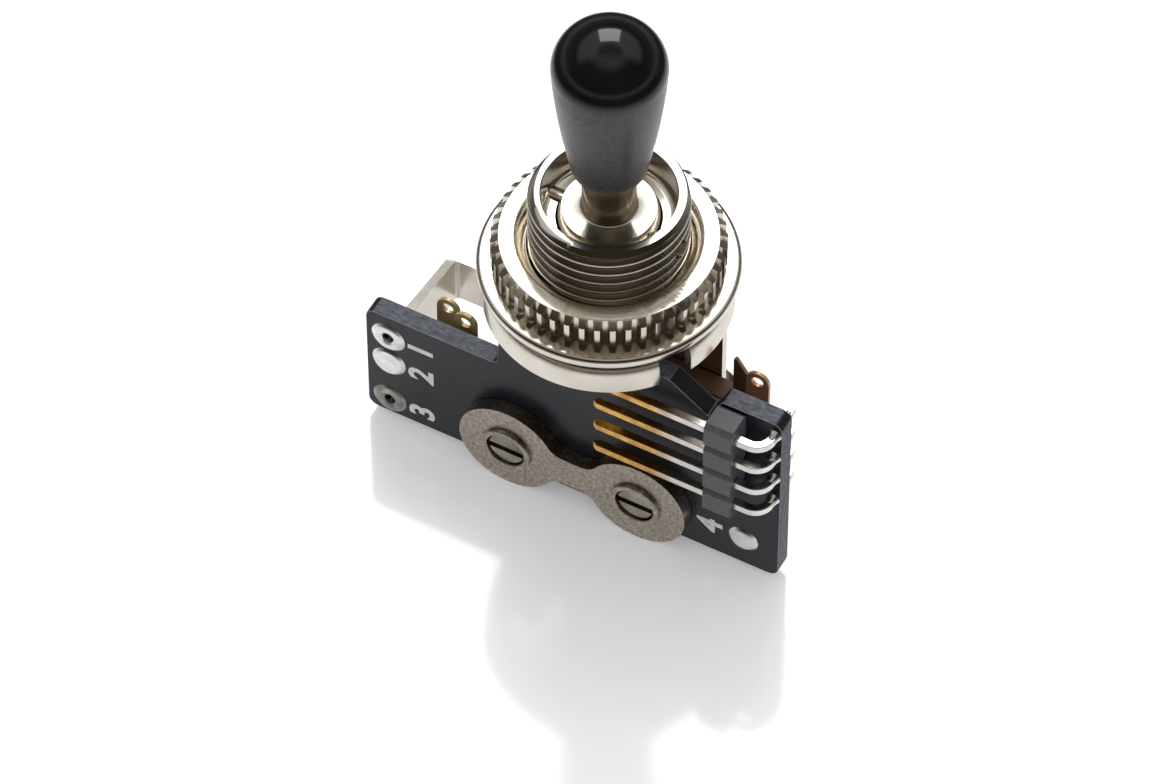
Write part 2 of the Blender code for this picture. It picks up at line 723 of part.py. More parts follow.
# Insulating wafers and the centre spacer

def make_wafer(name, low, high):
    outline = rounded([(-WAFER_END, 0.0, WAFER_CORNER), (WAFER_END, 0.0, WAFER_CORNER),
                       (WAFER_END, WAFER_H, WAFER_CORNER), (-WAFER_END, WAFER_H, WAFER_CORNER)])
    holes = [circle(x, SCREW_Z, LEAF_HOLE_R) for x in SCREW_XS.values()]
    return plate(name, [outline] + holes, low, high, "Y", WAFER_BROWN)


# Contact leaves and their contacts

def blade(root_w, tip_w, tip_z, corner):
    """The upright tongue of a leaf, from its right root to its left root."""
    return [(root_w / 2, LEAF_PAD_TOP, TONGUE_ROOT_R), (tip_w / 2, tip_z, corner),
            (-tip_w / 2, tip_z, corner), (-root_w / 2, LEAF_PAD_TOP, TONGUE_ROOT_R)]


def leaf_outline(tongue, lug_x, lug_top, arm_z, fin):
    """A leaf's outline: pad, tongue and a solder lug or fin to one side."""
    side = math.copysign(1, lug_x)
    inner = lug_x - side * LUG_W / 2
    outer = lug_x + side * LUG_W / 2
    pad = side * PAD_HALF_W
    if fin:
        top = [(outer, lug_top - FIN_DROP, 0.3), (inner, lug_top, 0.15)]
    else:
        top = [(outer, lug_top, LUG_W / 2 - 0.02), (inner, lug_top, LUG_W / 2 - 0.02)]
    lug = [(outer, arm_z, 0.6)] + top + [(inner, LEAF_PAD_TOP, 0.4)]
    right = [(-pad, LEAF_PAD_LOW, 0.8), (pad, LEAF_PAD_LOW, 0.8), (pad, arm_z, 0.3)] + lug
    tongue_side = tongue if side > 0 else tongue[::-1]
    return right + tongue_side + [(-pad, LEAF_PAD_TOP, 0.8)]


def leaf_loops(corners, lug_x, lug_top, fin):
    holes = [circle(x, SCREW_Z, LEAF_HOLE_R) for x in SCREW_XS.values()]
    holes.append(circle(0.0, CONTACT_Z, CONTACT_SHANK_R + NARROW_FIT, 12))
    if not fin:
        holes.append(circle(lug_x, lug_top - LUG_W / 2, EYELET_R, 12))
    return [rounded(corners)] + holes


def make_short_leaf(name, layer, lug_x, lug_top, finish):
    tongue = blade(SHORT_W, SHORT_W - 0.6, CONTACT_Z + SHORT_RISE, 1.2)
    corners = leaf_outline(tongue, lug_x, lug_top, SHORT_ARM_Z, False)
    return plate(name, leaf_loops(corners, lug_x, lug_top, False), *layer, "Y", finish)


def long_leaf_shift(z):
    """How far a long leaf bends towards the lever's plane at height z."""
    middle = abs(sum(FRONT[2])) / 2
    inward = middle - (SLEEVE_R + LEAF_RUN + LEAF_T / 2)
    knees = long_leaf_knees()
    values = (0.0, 0.0, inward, inward, inward - LEAF_FLARE)
    for (z0, z1), (v0, v1) in zip(zip(knees, knees[1:]), zip(values, values[1:])):
        if z <= z1:
            return v0 + (v1 - v0) * max(0.0, z - z0) / (z1 - z0)
    return values[-1]


def long_leaf_knees():
    tip = FOOT_Z + LONG_RISE
    return (LEAF_PAD_TOP, CONTACT_Z + CONTACT_R + 0.6, FOOT_Z - 1.2, FOOT_Z + 0.3, tip)


def make_long_leaf(name, layer, lug_x, lug_top, fin, finish):
    """A sheet cut to its outline, bent at its knees and given its thickness."""
    knees = long_leaf_knees()
    tongue = blade(LONG_ROOT_W, LONG_TIP_W, knees[-1], 0.8)
    corners = leaf_outline(tongue, lug_x, lug_top, LONG_ARM_Z, fin)
    reach = LONG_ROOT_W / 2 * MM + 1e-6
    maker = bmesh.new()
    for loop in leaf_loops(corners, lug_x, lug_top, fin):
        verts = [maker.verts.new((x * MM, 0.0, z * MM)) for x, z in loop]
        for first, second in zip(verts, verts[1:] + verts[:1]):
            maker.edges.new((first, second))
    bmesh.ops.triangle_fill(maker, use_beauty=True, use_dissolve=False, edges=maker.edges[:],
                            normal=(0.0, -1.0, 0.0))
    for z in knees[1:-1]:
        tongue_faces = [f for f in maker.faces if max(abs(v.co.x) for v in f.verts) < reach]
        around = set(tongue_faces) | {v for f in tongue_faces for v in f.verts}
        around |= {e for f in tongue_faces for e in f.edges}
        bmesh.ops.bisect_plane(maker, geom=list(around), dist=1e-8,
                               plane_co=(0.0, 0.0, z * MM), plane_no=(0.0, 0.0, 1.0))
    middle = sum(layer) / 2
    towards = -math.copysign(1, middle)
    for vert in maker.verts:
        bend = long_leaf_shift(vert.co.z / MM) if abs(vert.co.x) < reach else 0.0
        vert.co.y = (middle + towards * bend) * MM
    bmesh.ops.triangulate(maker, faces=maker.faces[:])
    bmesh.ops.recalc_face_normals(maker, faces=maker.faces[:])
    mesh = bpy.data.meshes.new(name)
    maker.to_mesh(mesh)
    maker.free()
    leaf = place(name, mesh, finish)
    wall = leaf.modifiers.new("thickness", "SOLIDIFY")
    wall.thickness = LEAF_T * MM
    wall.offset = 0.0
    wall.use_even_offset = True
    smooth(leaf)
    return leaf


def make_contact(name, layer, towards):
    """A domed rivet in a leaf's hole; towards is +1 when its head looks along +Y."""
    face = layer[1] if towards > 0 else layer[0]
    height = (WAFER_T + 2 * SEAT - CONTACT_GAP) / 2
    thickness = LEAF_T + SEAT
    profile = [(0.0, height), (CONTACT_R * 0.6, height * 0.9),
               (CONTACT_R, SEAT + 0.08), (CONTACT_R, SEAT / 2), (CONTACT_SHANK_R, SEAT / 2),
               (CONTACT_SHANK_R, -thickness), (CONTACT_TAIL_R, -thickness),
               (CONTACT_TAIL_R, -thickness - CONTACT_TAIL_T), (0.0, -thickness - CONTACT_TAIL_T)]
    rivet = turned(name, profile, 10, SILVER)
    rivet.rotation_euler = (-towards * math.pi / 2, 0.0, 0.0)
    rivet.location = (0.0, face * MM, CONTACT_Z * MM)
    return rivet


# Circuit board, pads and header

def pad_places():
    left = BOARD_LEFT + LEFT_PAD_INSET
    places = [(left, BOARD_LIFT + spot * BOARD_LEFT_H, PAD_R) for spot in PAD_SPOTS]
    places.append((BOARD_RIGHT - RIGHT_PAD_INSET, BOARD_LIFT + RIGHT_PAD_HEIGHT, RIGHT_PAD_R))
    return places


def pin_heights():
    first = BOARD_TOP_Z - PIN_TOP_DROP - PIN_PITCH * (PIN_COUNT - 1)
    return [first + PIN_PITCH * i for i in range(PIN_COUNT)]


def make_board():
    low = BOARD_LIFT
    left_top = low + BOARD_LEFT_H
    top = BOARD_TOP_Z
    window = BOARD_WINDOW_W / 2
    sill = top - BOARD_WINDOW_DEPTH
    step = -window - BOARD_SHOULDER_W
    notch_end = HEADER_LEFT + NOTCH_LAP
    corner = BOARD_CORNER
    outline = rounded([
        (BOARD_LEFT, low, corner), (BOARD_RIGHT, low, corner), (BOARD_RIGHT, top, corner),
        (notch_end, top, 0.3), (notch_end - NOTCH_STEEP_W, top - NOTCH_DEPTH, 0.25),
        (notch_end - NOTCH_W, top, 0.4), (window, top, 0.4), (window, sill, 1.0), (-window, sill, 1.0),
        (-window, top, 0.4), (step + 0.5, top, 0.4), (step, left_top, 0.5), (BOARD_LEFT, left_top, corner)],
        segments=2)
    holes = [circle(x, SCREW_Z, HOLE_R) for x in SCREW_XS.values()]
    holes += [circle(x, z, PAD_HOLE_R, 12) for x, z, _ in pad_places()]
    holes += [circle(PIN_BEND_X, z, PIN_W / math.sqrt(2) + NARROW_FIT, 10) for z in pin_heights()]
    return plate("circuit_board", [outline] + holes, *BOARD_Y, "Y", BOARD_BLACK)


def make_pads():
    for i, (x, z, radius) in enumerate(pad_places(), start=1):
        loops = [circle(x, z, radius, 24), circle(x, z, PAD_HOLE_R, 12)]
        plate("solder_pad_%d" % i, loops, BOARD_Y[0] - PAD_T, BOARD_Y[0], "Y", SILVER)


def make_header():
    """The block, seen along its pins: a row of cubes whose corners are cut off."""
    heights = pin_heights()
    half = PIN_PITCH / 2
    right = HEADER_LEFT + HEADER_W
    back = BOARD_Y[0] - SEAT
    front = back - HEADER_DEPTH
    notch = HEADER_NOTCH
    front_side = []
    back_side = []
    for z in heights:
        front_side += [(front + notch, z - half), (front, z - half + notch), (front, z + half - notch)]
        back_side += [(back - notch, z - half), (back, z - half + notch), (back, z + half - notch)]
    front_side.append((front + notch, heights[-1] + half))
    back_side.append((back - notch, heights[-1] + half))
    body = plate("header_body", [front_side[::-1] + back_side], HEADER_LEFT, right, "X", HEADER_BLACK)
    middle = BOARD_Y[0] - PIN_STANDOFF
    reach = PIN_W / 2 + NARROW_FIT
    for i, z in enumerate(heights, start=1):
        loop = box_loop(middle - reach, z - reach, middle + reach, z + reach)
        hole = flat_cutter("header_hole_%d" % i, [loop], HEADER_LEFT - 1, right + 1, "X")
        combine(body, hole, "DIFFERENCE")
    return body


def make_pins():
    """Square wire pins: free to the left, bent back through the board at the right."""
    half = PIN_W / 2
    y = BOARD_Y[0] - PIN_STANDOFF
    left = HEADER_LEFT - PIN_REACH
    tail = BOARD_Y[1] + PIN_TAIL
    plan = rounded([
        (left, y - half + PIN_POINT, 0.0), (left + PIN_TAPER, y - half, 0.0),
        (PIN_BEND_X + half, y - half, PIN_BEND_R + PIN_W), (PIN_BEND_X + half, tail, 0.0),
        (PIN_BEND_X - half, tail, 0.0), (PIN_BEND_X - half, y + half, PIN_BEND_R),
        (left + PIN_TAPER, y + half, 0.0), (left, y + half - PIN_POINT, 0.0)], segments=5)
    for i, z in enumerate(pin_heights(), start=1):
        plate("header_pin_%d" % i, [plan], z - half, z + half, "Z", GOLD)


def build():
    make_tip()
    make_lever()
    make_sleeve()
    make_pivot_pin()
    make_bushing()
    make_nut()
    make_washer()
    make_frame()
    make_clamp_plate()
    for side, x in SCREW_XS.items():
        make_screw(side, x)
        make_screw_tube(side, x)
    make_wafer("centre_spacer", -SPACER_T / 2, SPACER_T / 2)
    make_wafer("wafer_front_inner", *FRONT[1])
    make_wafer("wafer_front_outer", *FRONT[3])
    make_wafer("wafer_rear_inner", *REAR[1])
    make_wafer("wafer_rear_outer", *REAR[3])
    make_wafer("rear_block", *REAR_BLOCK_Y)
    left = -WAFER_END
    right = WAFER_END
    make_short_leaf("short_leaf_front", FRONT[0], left - FRONT_SHORT_LUG_OUT, FRONT_SHORT_LUG_TOP, BRASS)
    make_short_leaf("short_leaf_rear", REAR[0], right + REAR_SHORT_LUG_OUT, REAR_SHORT_LUG_TOP, COPPER)
    make_long_leaf("long_leaf_front", FRONT[2], left - FRONT_LONG_LUG_OUT, FRONT_LONG_LUG_TOP, False, BRASS)
    make_long_leaf("long_leaf_rear", REAR[2], right + FIN_OUT, FIN_TOP, True, NICKEL)
    make_contact("contact_short_front", FRONT[0], -1)
    make_contact("contact_long_front", FRONT[2], 1)
    make_contact("contact_short_rear", REAR[0], 1)
    make_contact("contact_long_rear", REAR[2], -1)
    make_board()
    make_pads()
    make_header()
    make_pins()


build()
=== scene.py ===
# %% [markdown]
# # A guitar pickup selector switch
#
# The real object is a small three-way toggle: a black tip on a nickel lever, a threaded bushing
# with a knurled nut, a folded frame, a stack of contact leaves and a circuit board with a pin
# header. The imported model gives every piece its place. This file gives them their looks.
# One option is to model on top of a rough stand-in by eye. Here each piece takes its sizes from
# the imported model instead, so that nothing drifts away from what it sits on.

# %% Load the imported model
import json
import math

import bmesh
import bpy
from mathutils import Matrix, Vector, noise


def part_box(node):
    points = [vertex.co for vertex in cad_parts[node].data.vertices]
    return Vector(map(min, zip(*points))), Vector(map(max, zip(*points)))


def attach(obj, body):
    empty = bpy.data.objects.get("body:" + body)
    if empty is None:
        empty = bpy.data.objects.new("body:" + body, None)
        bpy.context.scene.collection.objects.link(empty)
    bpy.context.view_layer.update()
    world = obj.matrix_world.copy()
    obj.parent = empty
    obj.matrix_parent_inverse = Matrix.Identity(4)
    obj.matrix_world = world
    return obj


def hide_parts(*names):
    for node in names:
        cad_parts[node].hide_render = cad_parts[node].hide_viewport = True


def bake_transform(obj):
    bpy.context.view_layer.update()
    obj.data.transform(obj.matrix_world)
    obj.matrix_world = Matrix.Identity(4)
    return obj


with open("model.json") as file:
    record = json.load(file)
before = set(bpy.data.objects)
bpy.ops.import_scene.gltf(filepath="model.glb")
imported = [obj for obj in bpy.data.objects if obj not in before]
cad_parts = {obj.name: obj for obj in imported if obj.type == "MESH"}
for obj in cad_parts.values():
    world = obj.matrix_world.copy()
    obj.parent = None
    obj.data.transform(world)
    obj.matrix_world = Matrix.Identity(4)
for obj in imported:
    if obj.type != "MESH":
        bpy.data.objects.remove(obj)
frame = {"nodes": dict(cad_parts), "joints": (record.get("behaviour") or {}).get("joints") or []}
scene = bpy.context.scene
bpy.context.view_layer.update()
MM = 0.001

# %% [markdown]
# ## Camera
#
# The photograph looks down at about 52 degrees, from 28 degrees to the right of the board's
# front, through a long lens. A short lens close by would frame the switch as well, but it would
# make the tip look too large for the board. The camera's own axes are worked out once, and its
# place follows from the point that it looks at.

# %% Place the camera
AZIMUTH = math.radians(28.3)
ELEVATION = math.radians(52.0)
TO_CAMERA = Vector((math.sin(AZIMUTH) * math.cos(ELEVATION), -math.cos(AZIMUTH) * math.cos(ELEVATION),
                    math.sin(ELEVATION)))
RIGHT = Vector((math.cos(AZIMUTH), math.sin(AZIMUTH), 0.0))
UP = TO_CAMERA.cross(RIGHT)
DISTANCE = 0.56

lens = bpy.data.cameras.new("long_lens")
lens.lens = 225.6
lens.sensor_width = 36.0
lens.clip_start = 0.01
camera = bpy.data.objects.new("camera", lens)
scene.collection.objects.link(camera)
camera.matrix_world = Matrix((RIGHT, UP, TO_CAMERA)).transposed().to_4x4()
camera.location = -1.54 * MM * RIGHT + 4.7 * MM * UP + DISTANCE * TO_CAMERA
scene.camera = camera
scene.view_settings.view_transform = "Standard"
print("camera at", [round(value, 3) for value in camera.location])

# %% [markdown]
# ## Studio
#
# Polished metal has hardly any colour of its own: it shows what stands round it. In the
# photograph the flat tops are nearly white, while every slope that faces the camera is almost
# black, so the switch stood before a pale wall with one softbox, and the camera stood in a dark
# room. The world is painted as those two halves, and mirrored rays see them. Matt surfaces get
# one plain level of light instead, and the camera sees plain white.

# %% Helpers for objects and shader nodes


def put(name, data):
    """An object for some data, in the scene."""
    made = bpy.data.objects.new(name, data)
    scene.collection.objects.link(made)
    return made


def add(tree, kind, inputs=None, **choices):
    """Add a shader node, set its choices, and fill its inputs with values or links."""
    made = tree.nodes.new("ShaderNode" + kind)
    for key, value in choices.items():
        setattr(made, key, value)
    for key, value in (inputs or {}).items():
        if isinstance(value, bpy.types.NodeSocket):
            tree.links.new(value, made.inputs[key])
        else:
            made.inputs[key].default_value = value
    return made


def calculate(tree, operation, first, second=0.0):
    """One step of arithmetic on values or links."""
    return add(tree, "Math", {0: first, 1: second}, operation=operation).outputs[0]


def share(tree, value, low, high, kind="LINEAR"):
    """How far a value lies between low and high, from 0 to 1."""
    made = add(tree, "MapRange", {"Value": value, "From Min": low, "From Max": high}, interpolation_type=kind)
    return made.outputs["Result"]


def ramp(tree, value, stops):
    """A colour ramp with stops of (position, grey or colour)."""
    made = add(tree, "ValToRGB", {"Fac": value})
    elements = made.color_ramp.elements
    while len(elements) < len(stops):
        elements.new(0.5)
    for element, (position, color) in zip(elements, stops):
        element.position = position
        element.color = (color, color, color, 1.0) if isinstance(color, float) else (*color, 1.0)
    return made.outputs["Color"]


def between(tree, factor, first, second):
    """Mix two colours."""
    made = add(tree, "Mix", data_type="RGBA")
    for index, value in ((0, factor), (6, first), (7, second)):
        if isinstance(value, bpy.types.NodeSocket):
            tree.links.new(value, made.inputs[index])
        else:
            made.inputs[index].default_value = (*value, 1.0)
    return made.outputs[2]


# %% Paint the room
world = bpy.data.worlds.new("studio_room")
world.use_nodes = True
scene.world = world
tree = world.node_tree
tree.nodes.clear()
direction = add(tree, "TexCoord").outputs["Generated"]
height = add(tree, "SeparateXYZ", {"Vector": direction}).outputs["Z"]
place = share(tree, height, -1.0, 1.0)
far_wall = ramp(tree, place, [
    (0.0, 0.7), (0.495, 0.3), (0.55, 0.24), (0.60, (0.12, 0.105, 0.09)), (0.75, (0.05, 0.042, 0.034)),
    (0.81, 0.5), (0.95, 0.62), (0.98, (0.2, 0.18, 0.15))])
near_wall = ramp(tree, place, [
    (0.0, 0.7), (0.495, 0.4), (0.53, (0.30, 0.26, 0.21)), (0.58, (0.03, 0.022, 0.016)),
    (0.80, (0.02, 0.016, 0.012)), (0.90, (0.05, 0.040, 0.030)), (0.98, (0.50, 0.44, 0.37))])
nearness = add(tree, "VectorMath", {0: direction, 1: (TO_CAMERA.x, TO_CAMERA.y, 0.0)},
               operation="DOT_PRODUCT").outputs["Value"]
room = between(tree, share(tree, nearness, -0.08, 0.14, "SMOOTHSTEP"), far_wall, near_wall)
path = add(tree, "LightPath").outputs
painted = add(tree, "Background", {"Color": room, "Strength": 1.0}).outputs[0]
soft = add(tree, "Background", {"Color": (0.74, 0.74, 0.75, 1.0), "Strength": 1.0}).outputs[0]
plain = add(tree, "Background", {"Color": (1.0, 1.0, 1.0, 1.0), "Strength": 1.0}).outputs[0]
lit = add(tree, "MixShader", {0: path["Is Diffuse Ray"], 1: painted, 2: soft}).outputs[0]
shown = add(tree, "MixShader", {0: path["Is Camera Ray"], 1: lit, 2: plain}).outputs[0]
add(tree, "OutputWorld", {"Surface": shown})

# %% Hang the softbox where the level tops mirror it into the lens
lamp = bpy.data.lights.new("far_softbox", "AREA")
lamp.size = 0.24
lamp.energy = 0.7
softbox = put("far_softbox", lamp)
mirrored = Vector((-TO_CAMERA.x, -TO_CAMERA.y, TO_CAMERA.z)).normalized()
softbox.location = Vector((0.0, 0.0, 0.025)) + mirrored * 0.5
softbox.rotation_euler = mirrored.to_track_quat("Z", "Y").to_euler()

# %% [markdown]
# ### The table
#
# The table is white and slightly glossy, so a pale mirror image hangs below the switch. A plane
# is enough. The white that the camera sees comes from a little glow that only the camera and
# mirrored rays meet, so it adds no light to the switch, and the shadow stays. The studio was dark
# beyond the table, which gives the real switch its dark outlines. So mirrored rays find the table
# dark from a hand's width away.

# %% Make the table
maker = bmesh.new()
bmesh.ops.create_grid(maker, x_segments=1, y_segments=1, size=1.5)
sheet = bpy.data.meshes.new("table")
maker.to_mesh(sheet)
maker.free()
put("table", sheet)

white = bpy.data.materials.new("white_table")
white.use_nodes = True
tree = white.node_tree
shader = tree.nodes["Principled BSDF"]
shader.inputs["Roughness"].default_value = 0.1
shader.inputs["Specular IOR Level"].default_value = 0.9
shader.inputs["Emission Color"].default_value = (1.0, 1.0, 1.0, 1.0)
path = add(tree, "LightPath").outputs
looked = calculate(tree, "MAXIMUM", path["Is Camera Ray"], path["Is Glossy Ray"])
spot = add(tree, "TexCoord").outputs["Object"]
away = add(tree, "VectorMath", {0: spot}, operation="LENGTH").outputs["Value"]
dark_side = calculate(tree, "MULTIPLY", share(tree, away, 0.05, 0.11), path["Is Glossy Ray"])
tree.links.new(between(tree, dark_side, (0.93, 0.93, 0.94), (0.05, 0.045, 0.04)), shader.inputs["Base Color"])
glow = calculate(tree, "MULTIPLY", calculate(tree, "SUBTRACT", looked, dark_side), 0.18)
tree.links.new(glow, shader.inputs["Emission Strength"])
sheet.materials.append(white)

# %% [markdown]
# ## Effects that the finishes share
#
# Real metal and plastic are never perfectly even: polishing leaves fine lines, handling leaves
# scratches, and plating varies a little. Each effect could be painted as a picture. Here each is
# a small node group, built once, and every material places it with its own scale and strength.

# %% Build the shared node groups


def new_group(name, sockets):
    """An empty node group; sockets are (name, kind, default), and those without a default go out."""
    group = bpy.data.node_groups.new(name, "ShaderNodeTree")
    for socket, kind, default in sockets:
        way = "OUTPUT" if default is None else "INPUT"
        made = group.interface.new_socket(socket, in_out=way, socket_type="NodeSocket" + kind)
        if default is not None and kind == "Float":
            made.default_value = default
    return group, group.nodes.new("NodeGroupInput").outputs, group.nodes.new("NodeGroupOutput").inputs


# Soft clouds between 0 and 1, for uneven plating and dust
mottle, given, result = new_group("mottle", [
    ("Vector", "Vector", 0), ("Scale", "Float", 1.0), ("Contrast", "Float", 1.0), ("Value", "Float", None)])
cloud = add(mottle, "TexNoise", {"Vector": given["Vector"], "Scale": given["Scale"], "Detail": 4.0})
low = calculate(mottle, "SUBTRACT", 0.5, given["Contrast"])
high = calculate(mottle, "ADD", 0.5, given["Contrast"])
mottle.links.new(share(mottle, cloud.outputs["Fac"], low, high), result["Value"])

# Long fine streaks along one axis, as rolling and brushing leave them
streaks, given, result = new_group("streaks", [
    ("Vector", "Vector", 0), ("Scale", "Float", 1.0), ("Value", "Float", None)])
coarse = add(streaks, "TexNoise", {"Vector": given["Vector"], "Scale": given["Scale"], "Detail": 3.0})
finer = calculate(streaks, "MULTIPLY", given["Scale"], 3.7)
fine = add(streaks, "TexNoise", {"Vector": given["Vector"], "Scale": finer, "Detail": 2.0})
both = calculate(streaks, "ADD", coarse.outputs["Fac"], fine.outputs["Fac"])
streaks.links.new(calculate(streaks, "MULTIPLY", both, 0.5), result["Value"])

# A few thin scratches that cross at an angle
scratches, given, result = new_group("scratches", [
    ("Vector", "Vector", 0), ("Scale", "Float", 1.0), ("Amount", "Float", 0.5), ("Mask", "Float", None)])
masks = []
for turn, stretch in ((0.5, 16.0), (2.1, 22.0)):
    turned_place = add(scratches, "Mapping", {"Vector": given["Vector"], "Rotation": (turn, turn * 0.7, turn),
                                              "Scale": (1.0, stretch, 1.0)})
    cells = add(scratches, "TexVoronoi", {"Vector": turned_place.outputs[0], "Scale": given["Scale"]},
                feature="DISTANCE_TO_EDGE")
    masks.append(share(scratches, cells.outputs["Distance"], 0.03, 0.0))
patches = add(scratches, "TexNoise", {"Vector": given["Vector"], "Scale": given["Scale"]})
chosen = calculate(scratches, "LESS_THAN", patches.outputs["Fac"], given["Amount"])
kept = calculate(scratches, "MULTIPLY", calculate(scratches, "MAXIMUM", *masks), chosen)
scratches.links.new(kept, result["Mask"])

# Fine rings round the lever's axis, from turning and polishing
rings, given, result = new_group("turning_rings", [
    ("Vector", "Vector", 0), ("Rings per metre", "Float", 4000.0), ("Value", "Float", None)])
parts = add(rings, "SeparateXYZ", {"Vector": given["Vector"]}).outputs
flat = add(rings, "CombineXYZ", {"X": parts["X"], "Y": parts["Y"]})
radius = add(rings, "VectorMath", {0: flat.outputs[0]}, operation="LENGTH").outputs["Value"]
scaled = calculate(rings, "MULTIPLY", calculate(rings, "ADD", radius, parts["Z"]), given["Rings per metre"])
spot = add(rings, "CombineXYZ", {"X": scaled})
grooves = add(rings, "TexNoise", {"Vector": spot.outputs[0], "Scale": 1.0, "Detail": 2.0})
rings.links.new(grooves.outputs["Fac"], result["Value"])
print("shared effects:", [group.name for group in (mottle, streaks, scratches, rings)])

# %% [markdown]
# ## Finishes
#
# A finish is a Principled shader with its metalness and gloss set plainly, and with colour,
# roughness and bump that vary over the surface. One function could make them all, but a reader
# would then have to guess what each number does. So there is a small starter that only lays out
# the shader, and each finish adds its own effects. Only the plainest ones share a whole recipe.

# %% Starter and small tools for the finishes
FINISHES = {}


def start_finish(name, metallic=0.0, **constants):
    """A new material with its Principled shader and the piece's own coordinates."""
    made = bpy.data.materials.new(name)
    made.use_nodes = True
    tree = made.node_tree
    shader = tree.nodes["Principled BSDF"]
    shader.inputs["Metallic"].default_value = metallic
    for key, value in constants.items():
        shader.inputs[key.replace("_", " ")].default_value = value
    FINISHES[name] = made
    return tree, shader, add(tree, "TexCoord").outputs["Object"]


def effect(tree, group, vector, **values):
    """Place a shared effect in a material and return the one value that it puts out."""
    made = tree.nodes.new("ShaderNodeGroup")
    made.node_tree = group
    tree.links.new(vector, made.inputs["Vector"])
    for key, value in values.items():
        made.inputs[key.replace("_", " ")].default_value = value
    return made.outputs[0]


def stretched(tree, vector, scale):
    return add(tree, "Mapping", {"Vector": vector, "Scale": scale}).outputs[0]


def spread_value(tree, value, low, high):
    """Stretch a value between 0 and 1 to another range."""
    return add(tree, "MapRange", {"Value": value, "To Min": low, "To Max": high}).outputs["Result"]


def bump(tree, shader, height, strength, distance):
    made = add(tree, "Bump", {"Height": height, "Strength": strength, "Distance": distance})
    tree.links.new(made.outputs["Normal"], shader.inputs["Normal"])


def colour(tree, shader, value):
    tree.links.new(value, shader.inputs["Base Color"])


def roughness(tree, shader, value):
    tree.links.new(value, shader.inputs["Roughness"])


def clouded(name, scale, contrast, dark, light, dark_rough, light_rough, lumps=0.0, depth=0.00005,
            **constants):
    """A finish whose colour, roughness and bump all follow one pattern of clouds."""
    tree, shader, spot = start_finish(name, **constants)
    clouds = effect(tree, mottle, spot, Scale=scale, Contrast=contrast)
    colour(tree, shader, between(tree, clouds, dark, light))
    roughness(tree, shader, spread_value(tree, clouds, dark_rough, light_rough))
    if lumps:
        bump(tree, shader, clouds, lumps, depth)
    return FINISHES[name]


# %% [markdown]
# ### Nickel
#
# The bushing, nut, washer, lever and frame are nickel plated, which is a warm, slightly yellow
# mirror. The turned pieces show very fine rings from the lathe. The frame is folded from rolled
# sheet, so its grain is straight. Both get a few scratches and slightly uneven plating.

# %% Nickel finishes


def nickel(name, tint, dull, low_rough, high_rough, height_of):
    """Warm nickel plate; height_of gives the fine lines that the making left."""
    tree, shader, spot = start_finish(name, metallic=1.0)
    clouds = effect(tree, mottle, spot, Scale=420.0, Contrast=0.3)
    marks = effect(tree, scratches, spot, Scale=160.0, Amount=0.42)
    lines = height_of(tree, spot)
    colour(tree, shader, between(tree, clouds, dull, tint))
    uneven = spread_value(tree, clouds, high_rough, low_rough)
    roughness(tree, shader, calculate(tree, "ADD", uneven, calculate(tree, "MULTIPLY", marks, 0.12)))
    bump(tree, shader, calculate(tree, "SUBTRACT", lines, marks), 0.12, 0.00002)
    return FINISHES[name]


def lathe_rings(tree, spot):
    return effect(tree, rings, spot, Rings_per_metre=9000.0)


def sheet_grain(tree, spot):
    return effect(tree, streaks, stretched(tree, spot, (0.05, 1.0, 1.0)), Scale=6000.0)


NICKEL = nickel("nickel", (0.83, 0.79, 0.71), (0.72, 0.66, 0.57), 0.12, 0.22, lathe_rings)
SHEET_NICKEL = nickel("sheet_nickel", (0.82, 0.78, 0.70), (0.70, 0.64, 0.55), 0.16, 0.27, sheet_grain)
# The screws' nickel is darkened: its dark colour is painted shade and dark reflection from the recessed
# collars that the screw ends sit in.
NICKEL_PAINTED_SHADE = nickel("nickel_painted_shade", (0.60, 0.55, 0.48), (0.09, 0.08, 0.065), 0.16, 0.34, lathe_rings)

# The clamp plate was tumbled and not polished, so it has a fine speckle
tree, shader, spot = start_finish("satin_nickel", metallic=1.0)
speckle = effect(tree, mottle, spot, Scale=3400.0, Contrast=0.22)
clouds = effect(tree, mottle, spot, Scale=420.0, Contrast=0.3)
warm = between(tree, clouds, (0.46, 0.41, 0.35), (0.62, 0.56, 0.48))
colour(tree, shader, between(tree, speckle, (0.25, 0.21, 0.17), warm))
roughness(tree, shader, spread_value(tree, speckle, 0.45, 0.28))
bump(tree, shader, speckle, 0.35, 0.00004)
SATIN = FINISHES["satin_nickel"]

# %% [markdown]
# ### Black plastics
#
# The tip is a moulded black plastic, polished on its dome and slightly satin down its sides. The
# sides' lighter colour is partly that satin moulding and fine dust, and partly a painted grey sheen
# where the sides mirror the floor. A second material for the sides would show a hard line, so colour
# and gloss both follow the height. The header block is a plainer, duller moulding with a fine grain.

# %% Tip and header finishes
tip_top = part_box("toggle_tip")[1].z
tree, shader, spot = start_finish("gloss_black", Specular_IOR_Level=0.55)
height = add(tree, "SeparateXYZ", {"Vector": spot}).outputs["Z"]
is_dome = share(tree, height, tip_top - 0.0047, tip_top - 0.0037, "SMOOTHSTEP")
marks = effect(tree, scratches, spot, Scale=190.0, Amount=0.4)
gloss = spread_value(tree, is_dome, 0.3, 0.09)
roughness(tree, shader, calculate(tree, "ADD", gloss, calculate(tree, "MULTIPLY", marks, 0.15)))
clouds = effect(tree, mottle, spot, Scale=300.0, Contrast=0.25)
